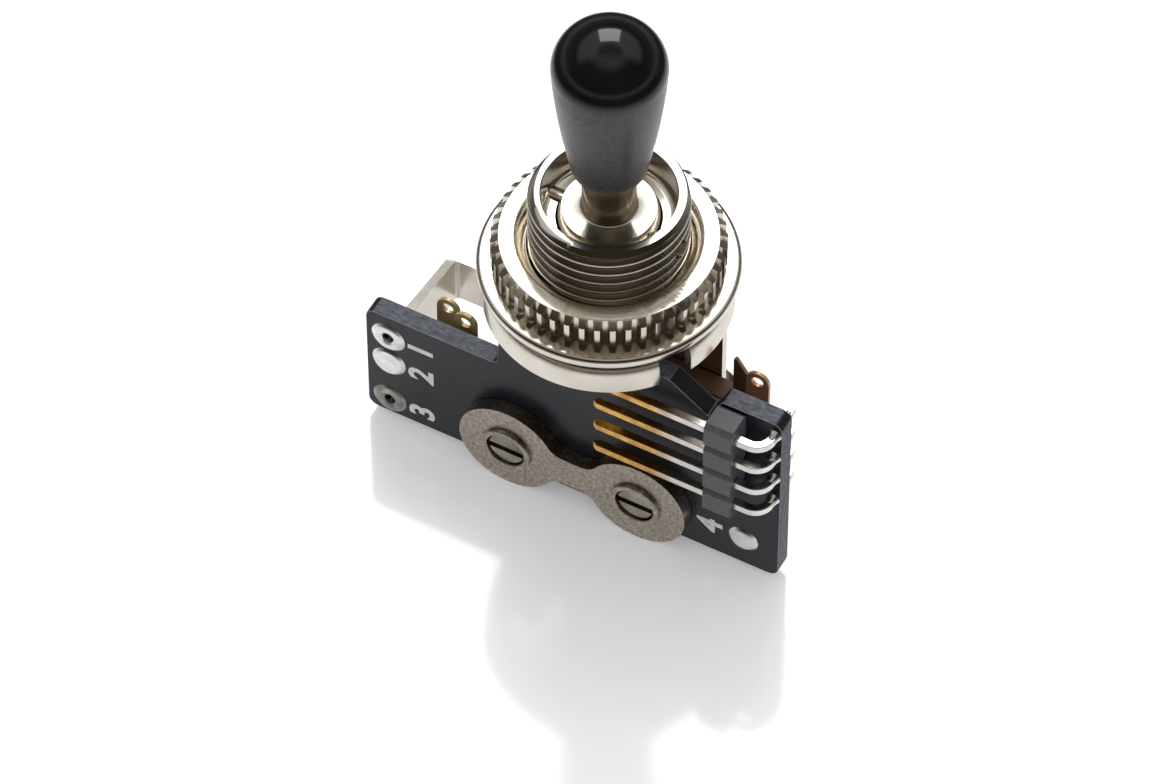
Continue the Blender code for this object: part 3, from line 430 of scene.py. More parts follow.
# Fine clouds that lighten the sides: dust, and a painted grey sheen in the lighter colour.
dust_and_sheen = effect(tree, mottle, spot, Scale=3200.0, Contrast=0.2)
polished = between(tree, clouds, (0.005, 0.005, 0.006), (0.010, 0.010, 0.012))
satin = between(tree, dust_and_sheen, (0.020, 0.020, 0.022), (0.048, 0.047, 0.051))
colour(tree, shader, between(tree, is_dome, satin, polished))
bump(tree, shader, effect(tree, mottle, spot, Scale=2600.0, Contrast=0.5), 0.05, 0.00003)
GLOSS_BLACK = FINISHES["gloss_black"]

HEADER_BLACK = clouded("header_black", 7000.0, 0.4, (0.045, 0.046, 0.052), (0.135, 0.138, 0.150), 0.38, 0.52,
                       lumps=0.25, depth=0.00003)

# %% [markdown]
# ### Circuit board
#
# A black board is a glass-fibre laminate under a black lacquer. On the faces the weave shows
# faintly through the lacquer. The straight edges were snapped from a panel, so grey glass lies
# bare there. Every slanting or curved edge, such as the notch's walls, gets a near-black colour,
# which is painted shade. Along the filed corners a pale colour is a painted highlight. A mask for
# each place would be one option. They differ in which way they look, so the surface's normal tells
# them apart.

# %% Board finish
tree, shader, spot = start_finish("board_black", Specular_IOR_Level=0.28, Coat_Weight=0.06,
                                  Coat_Roughness=0.12)
weave_across = add(tree, "TexWave", {"Vector": spot, "Scale": 900.0}, bands_direction="X").outputs["Fac"]
weave_up = add(tree, "TexWave", {"Vector": spot, "Scale": 900.0}, bands_direction="Z").outputs["Fac"]
weave = calculate(tree, "MULTIPLY", weave_across, weave_up)
layers = effect(tree, mottle, stretched(tree, spot, (0.5, 1.0, 0.5)), Scale=4400.0, Contrast=0.22)
clouds = effect(tree, mottle, spot, Scale=260.0, Contrast=0.3)
lacquer = between(tree, clouds, (0.006, 0.007, 0.011), (0.013, 0.015, 0.022))
laminate = between(tree, layers, (0.050, 0.054, 0.070), (0.165, 0.175, 0.210))
facing = add(tree, "SeparateXYZ", {"Vector": add(tree, "NewGeometry").outputs["Normal"]}).outputs
turns = {axis: calculate(tree, "ABSOLUTE", facing[axis]) for axis in "XYZ"}
is_face = share(tree, turns["Y"], 0.6, 0.9)
is_straight = share(tree, calculate(tree, "MAXIMUM", turns["X"], turns["Z"]), 0.93, 0.97)
# Slanting and curved edges, such as the notch's walls, get a near-black colour: painted shade.
edge = between(tree, is_straight, (0.012, 0.012, 0.014), laminate)
# The filed corners get a pale colour: a painted highlight along the edges.
off_corner = calculate(tree, "ABSOLUTE", calculate(tree, "SUBTRACT", turns["Y"], 0.6))
corner_highlight_mask = share(tree, off_corner, 0.35, 0.2)
plain_board = between(tree, is_face, edge, lacquer)
colour(tree, shader, between(tree, corner_highlight_mask, plain_board, (0.30, 0.28, 0.26)))
roughness(tree, shader, spread_value(tree, is_face, 0.6, 0.3))
bump(tree, shader, weave, 0.12, 0.00003)
BOARD_BLACK = FINISHES["board_black"]

# %% [markdown]
# ### Leaves, pins, solder and insulation
#
# The contact leaves are rolled brass and copper, the pins are gold plated with tinned ends, and
# the stack's layers are brown paper laminate, whose plies show as thin lines on the cut edges.
# Solder is a soft, slightly wavy silver.

# %% Leaf finishes


def rolled(name, bright, dark, rough):
    """Rolled strip: grain along its length, and tarnish that takes part of the mirror away."""
    tree, shader, spot = start_finish(name, metallic=0.6)
    grain = effect(tree, streaks, stretched(tree, spot, (1.0, 1.0, 0.06)), Scale=5000.0)
    tarnish = effect(tree, mottle, spot, Scale=350.0, Contrast=0.25)
    colour(tree, shader, between(tree, tarnish, dark, bright))
    roughness(tree, shader, spread_value(tree, tarnish, rough + 0.1, rough))
    bump(tree, shader, grain, 0.2, 0.00002)
    return FINISHES[name]


BRASS = rolled("leaf_brass", (0.92, 0.68, 0.34), (0.62, 0.42, 0.18), 0.34)
COPPER = rolled("leaf_copper", (0.88, 0.47, 0.26), (0.52, 0.25, 0.12), 0.32)
DARK_FIN = rolled("fin_nickel", (0.30, 0.21, 0.14), (0.16, 0.10, 0.06), 0.3)

# %% Pin, solder and silver finishes
pin_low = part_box("header_pin_1")[0]
tree, shader, spot = start_finish("pin_gold", metallic=1.0)
across = add(tree, "SeparateXYZ", {"Vector": spot}).outputs["X"]
tinned = share(tree, across, pin_low.x + 0.0045, pin_low.x + 0.0075, "SMOOTHSTEP")
clouds = effect(tree, mottle, spot, Scale=900.0, Contrast=0.2)
gold = between(tree, clouds, (0.40, 0.19, 0.03), (0.92, 0.56, 0.15))
tin = between(tree, clouds, (0.72, 0.69, 0.64), (0.90, 0.88, 0.84))
colour(tree, shader, between(tree, tinned, gold, tin))
roughness(tree, shader, spread_value(tree, clouds, 0.26, 0.14))
PIN_GOLD = FINISHES["pin_gold"]

SOLDER = clouded("solder", 1100.0, 0.25, (0.66, 0.66, 0.66), (0.90, 0.90, 0.89), 0.3, 0.16,
                 lumps=0.3, metallic=1.0)
DULL_SOLDER = clouded("dull_solder", 1100.0, 0.25, (0.16, 0.15, 0.13), (0.50, 0.49, 0.45), 0.5, 0.3,
                      lumps=0.6, metallic=1.0)
SILVER = clouded("contact_silver", 1100.0, 0.25, (0.74, 0.73, 0.70), (0.88, 0.88, 0.86), 0.32, 0.2,
                 lumps=0.1, metallic=1.0)

# %% Fibre, nylon and ink
tree, shader, spot = start_finish("fibre_board")
plies = add(tree, "TexWave", {"Vector": spot, "Scale": 1900.0, "Distortion": 2.5, "Detail": 3.0},
            bands_direction="Y").outputs["Fac"]
fibres = effect(tree, streaks, stretched(tree, spot, (0.15, 1.0, 0.15)), Scale=3000.0)
shade = calculate(tree, "MULTIPLY", plies, fibres)
colour(tree, shader, between(tree, shade, (0.07, 0.028, 0.012), (0.23, 0.105, 0.045)))
roughness(tree, shader, spread_value(tree, fibres, 0.42, 0.65))
bump(tree, shader, shade, 0.3, 0.00003)
FIBRE = FINISHES["fibre_board"]

NYLON = clouded("nylon", 900.0, 0.3, (0.66, 0.62, 0.52), (0.78, 0.75, 0.66), 0.35, 0.5,
                Subsurface_Weight=0.15, Subsurface_Scale=0.0005)
WHITE_INK = clouded("white_ink", 3000.0, 0.2, (0.66, 0.66, 0.67), (0.88, 0.88, 0.88), 0.6, 0.45)
print("finishes:", sorted(FINISHES))

# %% [markdown]
# ## Tools for the pieces
#
# Most of the switch comes from four workshop methods: turning, stamping from sheet, drilling and
# filing the edges. Each has a small function here: spin a profile, extrude an outline, cut with a
# second solid, and bevel. A finished piece keeps its place in its mesh, with its object at the
# origin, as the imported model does.

# %% Turning
QUARTER = {axis: Matrix.Rotation(math.pi / 2, 4, axis) for axis in "XYZ"}


def at(place):
    """The move to a place that is given in mm."""
    return Matrix.Translation([value * MM for value in place])


def weld(maker, distance):
    bmesh.ops.remove_doubles(maker, verts=maker.verts[:], dist=distance)


def solid(name, maker):
    """Close a bmesh's seams, point its faces outwards and make it an object."""
    weld(maker, 2e-7)
    bmesh.ops.recalc_face_normals(maker, faces=maker.faces[:])
    mesh = bpy.data.meshes.new(name)
    maker.to_mesh(mesh)
    maker.free()
    return put(name, mesh)


def profile_chain(maker, points, closed):
    """Draw a profile of (radius, height, corner) points, in mm, and round its corners."""
    verts = [maker.verts.new((point[0] * MM, 0.0, point[1] * MM)) for point in points]
    ends = verts[1:] + verts[:1] if closed else verts[1:]
    for first, second in zip(verts, ends):
        maker.edges.new((first, second))
    for vert, point in zip(verts, points):
        if len(point) > 2:
            bmesh.ops.bevel(maker, geom=[vert], offset=point[2] * MM, offset_type="OFFSET", segments=4,
                            profile=0.5, affect="VERTICES", material=-1)


def spin_round(maker, steps, turns=1, rise=0.0):
    """Spin a profile into a ring, or into a helix that rises by some mm in each turn."""
    bmesh.ops.spin(maker, geom=maker.verts[:] + maker.edges[:], cent=(0, 0, 0), axis=(0, 0, 1),
                   angle=math.tau * turns, steps=steps * turns, use_merge=not rise,
                   dvec=(0, 0, rise * MM / steps))


def cut_level(maker, level, **choices):
    """Cut a mesh along a level plane, at a height in mm."""
    bmesh.ops.bisect_plane(maker, geom=maker.verts[:] + maker.edges[:] + maker.faces[:], dist=1e-8,
                           plane_co=(0, 0, level * MM), plane_no=(0, 0, 1), **choices)


def turned(name, points, steps=96, closed=False):
    """Turn a piece on the lathe: a profile spun round the lever's axis."""
    maker = bmesh.new()
    profile_chain(maker, points, closed)
    spin_round(maker, steps)
    return solid(name, maker)


def arc_points(centre_z, radius, start, end, count):
    """Points of a ball's profile, by angle above its middle, in degrees."""
    angles = [math.radians(start + (end - start) * i / count) for i in range(count + 1)]
    return [(radius * math.cos(angle), centre_z + radius * math.sin(angle)) for angle in angles]


def lay(piece, place):
    """Lay a turned piece along -Y and move it to its place, inside its mesh."""
    piece.data.transform(at(place) @ QUARTER["X"])
    return piece


# %% Stamping


def stamped(name, corners, low, high, axis, segments=5):
    """An outline of (x, y, corner radius) points, in mm, extruded from low to high along an axis."""
    maker = bmesh.new()
    verts = [maker.verts.new((corner[0] * MM, corner[1] * MM, low * MM)) for corner in corners]
    face = maker.faces.new(verts)
    for i, (vert, corner) in enumerate(zip(verts, corners)):
        if corner[2] > 0:
            here = Vector(corner[:2])
            back = Vector(corners[i - 1][:2]) - here
            ahead = Vector(corners[(i + 1) % len(corners)][:2]) - here
            reach = corner[2] / math.tan(back.angle(ahead) / 2)
            bmesh.ops.bevel(maker, geom=[vert], offset=reach * MM, offset_type="OFFSET", segments=segments,
                            profile=0.5, affect="VERTICES", material=-1)
    grown = bmesh.ops.extrude_face_region(maker, geom=maker.faces[:])["geom"]
    bmesh.ops.translate(maker, verts=[part for part in grown if isinstance(part, bmesh.types.BMVert)],
                        vec=(0.0, 0.0, (high - low) * MM))
    swap = {"Y": ((1, 0, 0), (0, 0, 1), (0, 1, 0)), "X": ((0, 0, 1), (1, 0, 0), (0, 1, 0)),
            "Z": ((1, 0, 0), (0, 1, 0), (0, 0, 1))}[axis]
    maker.transform(Matrix(swap).to_4x4())
    return solid(name, maker)


def box(x0, y0, x1, y1, corner=0.0):
    return [(x0, y0, corner), (x1, y0, corner), (x1, y1, corner), (x0, y1, corner)]


# %% Joining and drilling
SLIVER = 0.003 * MM


def evaluated(thing):
    """The mesh that an object shows, with its modifiers or its letters worked out."""
    bpy.context.view_layer.update()
    return bpy.data.meshes.new_from_object(thing.evaluated_get(bpy.context.evaluated_depsgraph_get()))


def combine(piece, tool, operation="DIFFERENCE"):
    """Cut, join or intersect with another solid, and weld the slivers that a boolean leaves."""
    step = piece.modifiers.new("combine", "BOOLEAN")
    step.operation = operation
    step.solver = "EXACT"
    step.object = tool
    result = evaluated(piece)
    maker = bmesh.new()
    maker.from_mesh(result)
    weld(maker, SLIVER)
    bmesh.ops.dissolve_degenerate(maker, edges=maker.edges[:], dist=SLIVER)
    maker.to_mesh(result)
    maker.free()
    piece.modifiers.clear()
    piece.data = result
    bpy.data.objects.remove(tool, do_unlink=True)


def drill(piece, places, radius, low, high, axis, segments=40):
    """Drill holes at several (x, y) places of a plane, in mm, with all the drills as one tool."""
    maker = bmesh.new()
    turn = {"Y": QUARTER["X"], "X": QUARTER["Y"], "Z": Matrix.Identity(4)}[axis]
    middle = (low + high) / 2
    for first, second in places:
        spot = {"X": (middle, first, second), "Y": (first, middle, second), "Z": (first, second, middle)}
        bmesh.ops.create_cone(maker, cap_ends=True, segments=segments, radius1=radius * MM,
                              radius2=radius * MM, depth=(high - low) * MM, matrix=at(spot[axis]) @ turn)
    combine(piece, solid("drill", maker))


def file_edges(piece, width, segments=2, angle=40.0):
    """Round every sharp edge a little, in mm, as tumbling or filing does."""
    step = piece.modifiers.new("filed_edges", "BEVEL")
    step.width = width * MM
    step.segments = segments
    step.limit_method = "ANGLE"
    step.angle_limit = math.radians(angle)
    step.use_clamp_overlap = True
    step.harden_normals = True


def finish(piece, material, *stands_for, body="root"):
    """Give a piece its finish, its body and the CAD nodes that it stands for."""
    piece.data.materials.clear()
    piece.data.materials.append(material)
    piece.data.shade_smooth()
    piece.data.set_sharp_from_angle(angle=math.radians(32.0))
    if body:
        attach(piece, body)
    if stands_for:
        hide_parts(*stands_for)
    print("%-22s %6d faces" % (piece.name, len(piece.data.polygons)))
    return piece


def node_mm(name):
    """A CAD node's lowest and highest corners, in mm."""
    return [[value / MM for value in corner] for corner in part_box(name)]


# %% [markdown]
# ## Tip and lever
#
# The tip is a turned or moulded knob: a low dome, then sides that taper to a narrow neck. A
# scaled sphere would bulge in the wrong place. Its profile is drawn and spun, with a small
# rounding at the lower edge. The lever is turned too: stud, neck, ball, shank and foot in one
# piece. The ball is faced off nearly flat round the neck and drilled across for its pivot pin.

# %% Turn the tip
tip_low, tip_high = node_mm("toggle_tip")
TIP_R = tip_high[0]
TIP_BASE_R = 2.78
DOME = 3.8
widest = tip_high[2] - DOME
taper = widest - tip_low[2]
points = [(0.0, tip_high[2])]
for i in range(1, 16):
    angle = math.pi / 2 * i / 16
    points.append((TIP_R * math.sin(angle), widest + DOME * math.cos(angle)))
points += [(TIP_R, widest, 0.04), (TIP_R - 0.07, widest - 0.08)]
for i in range(1, 12):
    t = i / 12
    points.append((TIP_R + (TIP_BASE_R - TIP_R) * t + 0.18 * math.sin(math.pi * t), widest - taper * t))
bore_end = tip_low[2] + 7.3
points += [(TIP_BASE_R, tip_low[2], 0.22), (1.2, tip_low[2]), (1.2, bore_end), (0.0, bore_end)]
finish(turned("tip_knob", points), GLOSS_BLACK, "toggle_tip", body="lever")

# %% Turn the lever
PIVOT_Z = frame["joints"][0]["pos_m"][2] / MM
BALL_R = 3.85
PIN_BORE_R = 0.83
lever_low, lever_high = node_mm("toggle_lever")
ball = arc_points(PIVOT_Z, BALL_R, 24.6, -67.1, 24)
neck_top = tip_low[2] - 0.05
points = [(0.0, lever_high[2]), (1.15, lever_high[2], 0.15), (1.15, neck_top), (2.0, neck_top, 0.12),
          (2.0, PIVOT_Z + 1.76, 0.2)]
points += ball
points += [(1.5, PIVOT_Z - 7.2, 0.15), (0.9, PIVOT_Z - 7.7), (0.9, lever_low[2] + 0.3),
           (1.2, lever_low[2] + 0.3), (1.2, lever_low[2], 0.12), (0.0, lever_low[2])]
lever = turned("lever_turned", points, steps=72)
drill(lever, [(0.0, PIVOT_Z)], PIN_BORE_R, -8.0, 8.0, "X", segments=24)
finish(lever, NICKEL, "toggle_lever", body="lever")

# %% [markdown]
# ## Bushing
#
# The bushing is a nickel tube with a fine outer thread, a dished mouth and a round seat for the
# lever's ball. The thread could be a bump, but its crests break the outline and catch the light.
# One tooth of the thread is spun upwards along a helix, its turns are welded, and two level cuts
# trim it. The plain parts are spun as usual and bridged to the cut ends, and a cone turns the
# chamfer at the rim, as the lathe does after the thread is cut.

# %% Spin the thread
THREAD_R = 6.0
PITCH = 1.0
THREAD_DEPTH = 0.5
rim_z = node_mm("threaded_bushing")[1][2]
seat_z = node_mm("dress_washer")[0][2]
thread_low = seat_z + 0.35
thread_high = rim_z - 0.03
STEPS = 96
maker = bmesh.new()
start = thread_low - 1.5 * PITCH
turns = math.ceil((thread_high - start) / PITCH) + 1
tooth = [(THREAD_R - THREAD_DEPTH, 0.0), (THREAD_R - THREAD_DEPTH, 0.05), (THREAD_R - 0.08, 0.33),
         (THREAD_R - 0.02, 0.41), (THREAD_R, 0.5), (THREAD_R - 0.02, 0.59), (THREAD_R - 0.08, 0.67),
         (THREAD_R - THREAD_DEPTH, 0.95), (THREAD_R - THREAD_DEPTH, 1.0)]
profile_chain(maker, [(r, start + part * PITCH) for r, part in tooth], closed=False)
spin_round(maker, STEPS, turns, rise=PITCH)
weld(maker, 1e-6)
cut_level(maker, thread_low, clear_inner=True)
cut_level(maker, thread_high, clear_outer=True)
print("thread:", turns, "turns,", len(maker.faces), "faces")

# %% Add the plain parts and bridge them to the thread


def ring_edges(maker, level):
    """The open edges at one height, in mm."""
    return [edge for edge in maker.edges if edge.is_boundary
            and all(abs(vert.co.z - level * MM) < 2e-7 for vert in edge.verts)]


SEAT_R = BALL_R + 0.1
DISH_R = 5.0
floor_z = rim_z - 2.7
low_z = node_mm("threaded_bushing")[0][2]
seat = arc_points(PIVOT_Z, SEAT_R, -42.8, 0.0, 12)
inside = [(5.35, rim_z), (DISH_R, rim_z, 0.12), (DISH_R, floor_z, 0.55), (SEAT_R, floor_z)]
inside += seat[::-1] + [(3.4, low_z), (4.7, low_z, 0.15), (4.7, low_z + 0.5), (4.4, low_z + 0.5),
                        (4.4, seat_z), (THREAD_R - 0.35, seat_z, 0.2), (THREAD_R - 0.3, thread_low - 0.12)]
plain = turned("plain_parts", inside, STEPS)
maker.from_mesh(plain.data)
bpy.data.objects.remove(plain, do_unlink=True)
for thread_end, plain_end in ((thread_high, rim_z), (thread_low, thread_low - 0.12)):
    bmesh.ops.bridge_loops(maker, edges=ring_edges(maker, thread_end) + ring_edges(maker, plain_end))
print("bushing: open edges", sum(edge.is_boundary for edge in maker.edges))
bushing = solid("bushing_threaded", maker)
chamfer = turned("rim_chamfer", [(5.45, rim_z + 0.2), (6.6, rim_z + 0.2), (6.6, rim_z - 0.95)],
                 steps=STEPS, closed=True)
combine(bushing, chamfer)
drill(bushing, [(0.0, PIVOT_Z)], 0.8, -8.0, 8.0, "X", segments=24)
finish(bushing, NICKEL, "threaded_bushing")

# %% [markdown]
# ## Nut and washer
#
# The nut is knurled: straight teeth all round, with both rims chamfered and a shallow dish on
# top. Modelling a tooth and copying it round would leave 48 seams. Instead the toothed outline is
# one polygon, extruded, and then intersected with a turned form that has the chamfers and the
# dish. The washer is a plain turned ring with rounded edges.

# %% Cut the nut
nut_low, nut_high = node_mm("knurled_nut")
NUT_R = 8.75
TOOTH_DEPTH = 0.6
TEETH = 48
outline = []
for i in range(TEETH):
    for part, r in ((0.0, NUT_R - 0.02), (0.18, NUT_R), (0.36, NUT_R - 0.02), (0.52, NUT_R - TOOTH_DEPTH),
                    (0.84, NUT_R - TOOTH_DEPTH)):
        angle = math.tau * (i + part - 0.18) / TEETH
        outline.append((r * math.cos(angle), r * math.sin(angle), 0.0))
nut = stamped("nut_knurled", outline, nut_low[2], nut_high[2], "Z")
top, base = nut_high[2], nut_low[2]
form = turned("nut_form", [
    (6.1, top - 0.75), (6.8, top - 0.1, 0.1), (7.0, top, 0.08), (8.15, top, 0.06), (8.9, top - 0.6),
    (8.9, base + 0.5), (8.2, base), (6.1, base)], steps=144, closed=True)
combine(nut, form, "INTERSECT")
file_edges(nut, 0.035, angle=30.0)
finish(nut, NICKEL, "knurled_nut")

# %% Turn the washer
low, high = node_mm("dress_washer")
washer = turned("washer_polished", [
    (6.1, high[2], 0.08), (high[0], high[2], 0.34), (high[0], low[2], 0.34), (6.1, low[2], 0.08)],
    steps=144, closed=True)
finish(washer, NICKEL, "dress_washer")

# %% [markdown]
# ## Frame
#
# The frame is one sheet of metal, stamped and folded: a round plate with turned-down skirts, a
# rear leg and an arm that reaches forward to the board. Each fold has a real bend radius. The
# round part is turned as a shallow cup and notched, and the leg and the arm are stamped from
# their side and top outlines, so that the bends come with the outline.

# %% Turn and notch the cup
SHEET = 0.7
low, high = node_mm("frame")
top = high[2]
FRAME_R = 9.4
skirt_low = top - 3.1
cup = turned("frame_folded", [
    (0.0, top), (FRAME_R, top, 1.6), (FRAME_R, skirt_low), (FRAME_R - SHEET, skirt_low),
    (FRAME_R - SHEET, top - SHEET, 0.9), (0.0, top - SHEET)], steps=128)
leg_back = high[1]
leg_front = leg_back - SHEET
combine(cup, stamped("rear_cut", box(-14, leg_back - 1.1, 14, 14), skirt_low - 1, top + 1, "Z"))
for sign in (-1, 1):
    for start_deg, end_deg in ((51.5, 68.0), (112.0, 150.0)):
        corners = []
        for r, degrees in ((8.5, start_deg), (14.0, start_deg), (14.0, end_deg), (8.5, end_deg)):
            angle = math.radians(degrees)
            corners.append((sign * r * math.sin(angle), -r * math.cos(angle), 0.0))
        combine(cup, stamped("notch", corners, skirt_low - 1, top + 1, "Z"))

# %% Stamp the leg and the arm, and join them
side = [(3.6, top, 0.0), (leg_back, top, 1.1), (leg_back, 0.0, 0.0), (leg_front, 0.0, 0.0),
        (leg_front, top - SHEET, 0.4), (3.6, top - SHEET, 0.0)]
leg = stamped("leg", side, -9.0, 9.0, "X", segments=8)
outline = [(-9.0, 0.0, 1.6), (9.0, 0.0, 1.6), (9.0, 4.2, 0.8), (7.0, 5.8, 0.8), (7.0, top + 1, 0.0),
           (-7.0, top + 1, 0.0), (-7.0, 5.8, 0.8), (-9.0, 4.2, 0.8)]
combine(leg, stamped("leg_outline", outline, 2.0, 8.0, "Y"), "INTERSECT")
combine(cup, leg, "UNION")
arm_front = node_mm("circuit_board")[1][1] + 0.05
left, right = low[0], low[0] + SHEET
plan = [(right, arm_front, 0.0), (right, leg_front + 0.02, 0.35), (-5.5, leg_front + 0.02, 0.0),
        (-5.5, leg_back - 0.02, 0.0), (left, leg_back - 0.02, 1.05), (left, arm_front, 0.0)]
arm = stamped("arm", plan, 3.0, 12.0, "Z", segments=8)
side = [(arm_front - 1, 5.7, 0.0), (2.0, 4.2, 0.35), (8.0, 4.2, 0.0), (8.0, 8.6, 0.0),
        (leg_front, 8.6, 0.0), (arm_front - 1, 10.1, 0.0)]
combine(arm, stamped("arm_outline", side, left - 1, -5.0, "X"), "INTERSECT")
combine(cup, arm, "UNION")
drill(cup, [(0.0, 0.0)], 4.45, top - SHEET - 0.3, top + 2, "Z", segments=96)
SCREW_X = 5.5
SCREW_Z = 4.1
SCREW_SPOTS = [(-SCREW_X, SCREW_Z), (SCREW_X, SCREW_Z)]
SCREW_HOLE_R = 1.6
drill(cup, SCREW_SPOTS, SCREW_HOLE_R, 2.0, 9.0, "Y")
file_edges(cup, 0.1)
finish(cup, SHEET_NICKEL, "frame")

# %% [markdown]
# ## Clamp plate and screws
#
# A figure-eight plate presses the whole stack together. Two discs and a bar joined by a boolean
# would leave sharp inner corners, which a press tool never does. So the outline is worked out as
# arcs that meet smoothly, half of it, and the other half is the same turned round. Each disc has a
# raised collar round the screw, whose slotted end shows in it. The screws come from the back.

# %% Make the clamp plate
low, high = node_mm("circuit_board")
plate_back = low[1] - 0.05
plate_front = plate_back - 1.15
LOBE_R, WAIST, FILLET = 4.1, 1.45, 1.5
above = WAIST + FILLET
aside = SCREW_X - math.sqrt((LOBE_R + FILLET) ** 2 - above ** 2)
slant = math.atan2(SCREW_X - aside, above)
lobe_end = math.pi / 2 + slant
half_outline = []
for i in range(73):
    angle = lobe_end * (i / 36 - 1)
    half_outline.append((SCREW_X + LOBE_R * math.cos(angle), LOBE_R * math.sin(angle)))
bend = [(aside + FILLET * math.sin(slant * i / 6), above - FILLET * math.cos(slant * i / 6))
        for i in range(6)]
half_outline += bend[::-1] + [(-x, z) for x, z in bend]
outline = [(sign * x, SCREW_Z + sign * z, 0.0) for sign in (1, -1) for x, z in half_outline]
plate = stamped("clamp_plate_satin", outline, plate_front, plate_back, "Y")
drill(plate, SCREW_SPOTS, SCREW_HOLE_R, plate_front - 1, plate_back + 1, "Y")
for x in (-SCREW_X, SCREW_X):
    collar = turned("collar", [(SCREW_HOLE_R, 0.35, 0.08), (2.05, 0.35, 0.12), (2.1, 0.0), (2.1, -0.5),
                               (SCREW_HOLE_R, -0.5)], steps=64, closed=True)
    combine(plate, lay(collar, (x, plate_front, SCREW_Z)), "UNION")
file_edges(plate, 0.14, segments=3)
finish(plate, SATIN, "clamp_plate")

# %% Turn the screws
SHANK_R, HEAD_R, HEAD_HIGH = 1.5, 2.6, 1.4
SLOT_DEPTH, HALF_SLOT = 0.6, 0.28
for side_name, x in (("left", -SCREW_X), ("right", SCREW_X)):
    node = "stack_screw_" + side_name
    low, high = node_mm(node)
    length = high[1] - low[1]
    under = length - HEAD_HIGH
    screw = turned("screw_" + side_name, [
        (0.0, 0.0), (SHANK_R, 0.0, 0.12), (SHANK_R, -under), (HEAD_R, -under, 0.1), (HEAD_R, -length, 0.5),
        (0.0, -length)], steps=64)
    lay(screw, (x, low[1], SCREW_Z))
    for slot_low, slot_high in ((low[1] - 1, low[1] + SLOT_DEPTH), (high[1] - SLOT_DEPTH, high[1] + 1)):
        slot_box = box(x - 4, SCREW_Z - HALF_SLOT, x + 4, SCREW_Z + HALF_SLOT)
        combine(screw, stamped("slot", slot_box, slot_low, slot_high, "Y"))
    file_edges(screw, 0.05)
    finish(screw, NICKEL_PAINTED_SHADE, node)

# %% [markdown]
# ## Circuit board
#
# The board has a low left part, a window for the front leaf and a tower with a notch at the
# right. Its outline is stamped, and all holes of one size are drilled with one tool, because three
# booleans are quicker and cleaner than ten.

# %% Stamp and drill the board
low, high = node_mm("circuit_board")
front, back = low[1], high[1]
left, right, bottom, top = low[0], high[0], low[2], high[2]
notch_end = node_mm("header_body")[0][0] + 0.18
outline = [(left, bottom, 0.8), (right, bottom, 0.8), (right, top, 0.8), (notch_end, top, 0.3),
           (notch_end - 1.0, top - 2.4, 0.25), (notch_end - 4.3, top, 0.4), (3.6, top, 0.4),
           (3.6, top - 4.7, 1.0), (-3.6, top - 4.7, 1.0), (-3.6, top, 0.4), (-6.5, top, 0.4),
           (-7.0, bottom + 11.4, 0.5), (left, bottom + 11.4, 0.8)]
board = stamped("board_black_laminate", outline, front, back, "Y", segments=4)
PAD_HOLE_R, PIN_HOLE_R, HALF_PIN = 0.45, 0.49, 0.32
pads, pin_rows = [], []
for i in range(1, 5):
    (x0, _, z0), (x1, _, z1) = node_mm("solder_pad_%d" % i)
    pads.append(((x0 + x1) / 2, (z0 + z1) / 2, (x1 - x0) / 2))
    (_, _, z0), (_, _, z1) = node_mm("header_pin_%d" % i)
    pin_rows.append((z0 + z1) / 2)
bend_x = node_mm("header_pin_1")[1][0] - HALF_PIN
for places, hole_r, segments in ((SCREW_SPOTS, SCREW_HOLE_R, 40), ([pad[:2] for pad in pads], PAD_HOLE_R, 32),
                                 ([(bend_x, z) for z in pin_rows], PIN_HOLE_R, 24)):
    drill(board, places, hole_r, front - 1, back + 1, "Y", segments)
file_edges(board, 0.1)
finish(board, BOARD_BLACK, "circuit_board")

# %% [markdown]
# ### Pads and solder
#
# The pads are rings of copper that were dipped in solder. Two of the holes filled up, and one pad
# stayed dull. At the right, the pins' bent legs go through the board in small cones of solder.
# Both are turned, and then pushed about a little by noise, because no two joints are alike.

# %% Make the pads and the solder joints
noise.seed_set(1)  # without a seed, the noise differs from run to run


def uneven(piece, amount, size):
    """Move the points of a piece by smooth noise, in mm."""
    for vert in piece.data.vertices:
        vert.co += noise.noise_vector(vert.co / (size * MM)) * amount * MM
    return piece


for i, (x, z, r) in enumerate(pads, start=1):
    filled = i in (2, 4)
    if filled:
        middle = 0.12 if i == 2 else 0.42
        profile = [(0.0, middle), (0.45, middle - 0.02, 0.15), (r - 0.3, 0.22, 0.15), (r, -0.02),
                   (0.0, -0.02)]
    else:
        profile = [(PAD_HOLE_R, -0.02), (PAD_HOLE_R + 0.02, 0.1, 0.03), (PAD_HOLE_R + 0.3, 0.24, 0.1),
                   (r - 0.3, 0.2, 0.15), (r, -0.02)]
    ring = turned("pad_ring_%d" % i, profile, steps=64, closed=not filled)
    pad_finish = DULL_SOLDER if i == 3 else SOLDER
    finish(uneven(lay(ring, (x, front, z)), 0.03, 1.3), pad_finish, "solder_pad_%d" % i)

for i, z in enumerate(pin_rows, start=1):
    for side_name, face, sign in (("front", front, 1), ("rear", back, -1)):
        cone = turned("solder_%s_%d" % (side_name, i), [
            (0.0, 0.75 * sign), (0.36, 0.72 * sign, 0.08), (0.42, 0.32 * sign, 0.15), (0.56, -0.02 * sign),
            (0.0, -0.02 * sign)], steps=40)
        finish(uneven(lay(cone, (bend_x, face, z)), 0.03, 0.9), SOLDER)

# %% [markdown]
# ## Pin header
#
# The header block is moulded as four small cubes in a row with V grooves between them, so that a
# longer strip can be snapped to length. Each square pin is bent from straight wire. The pin's
# outline holds its bend, and its edges are filed round.

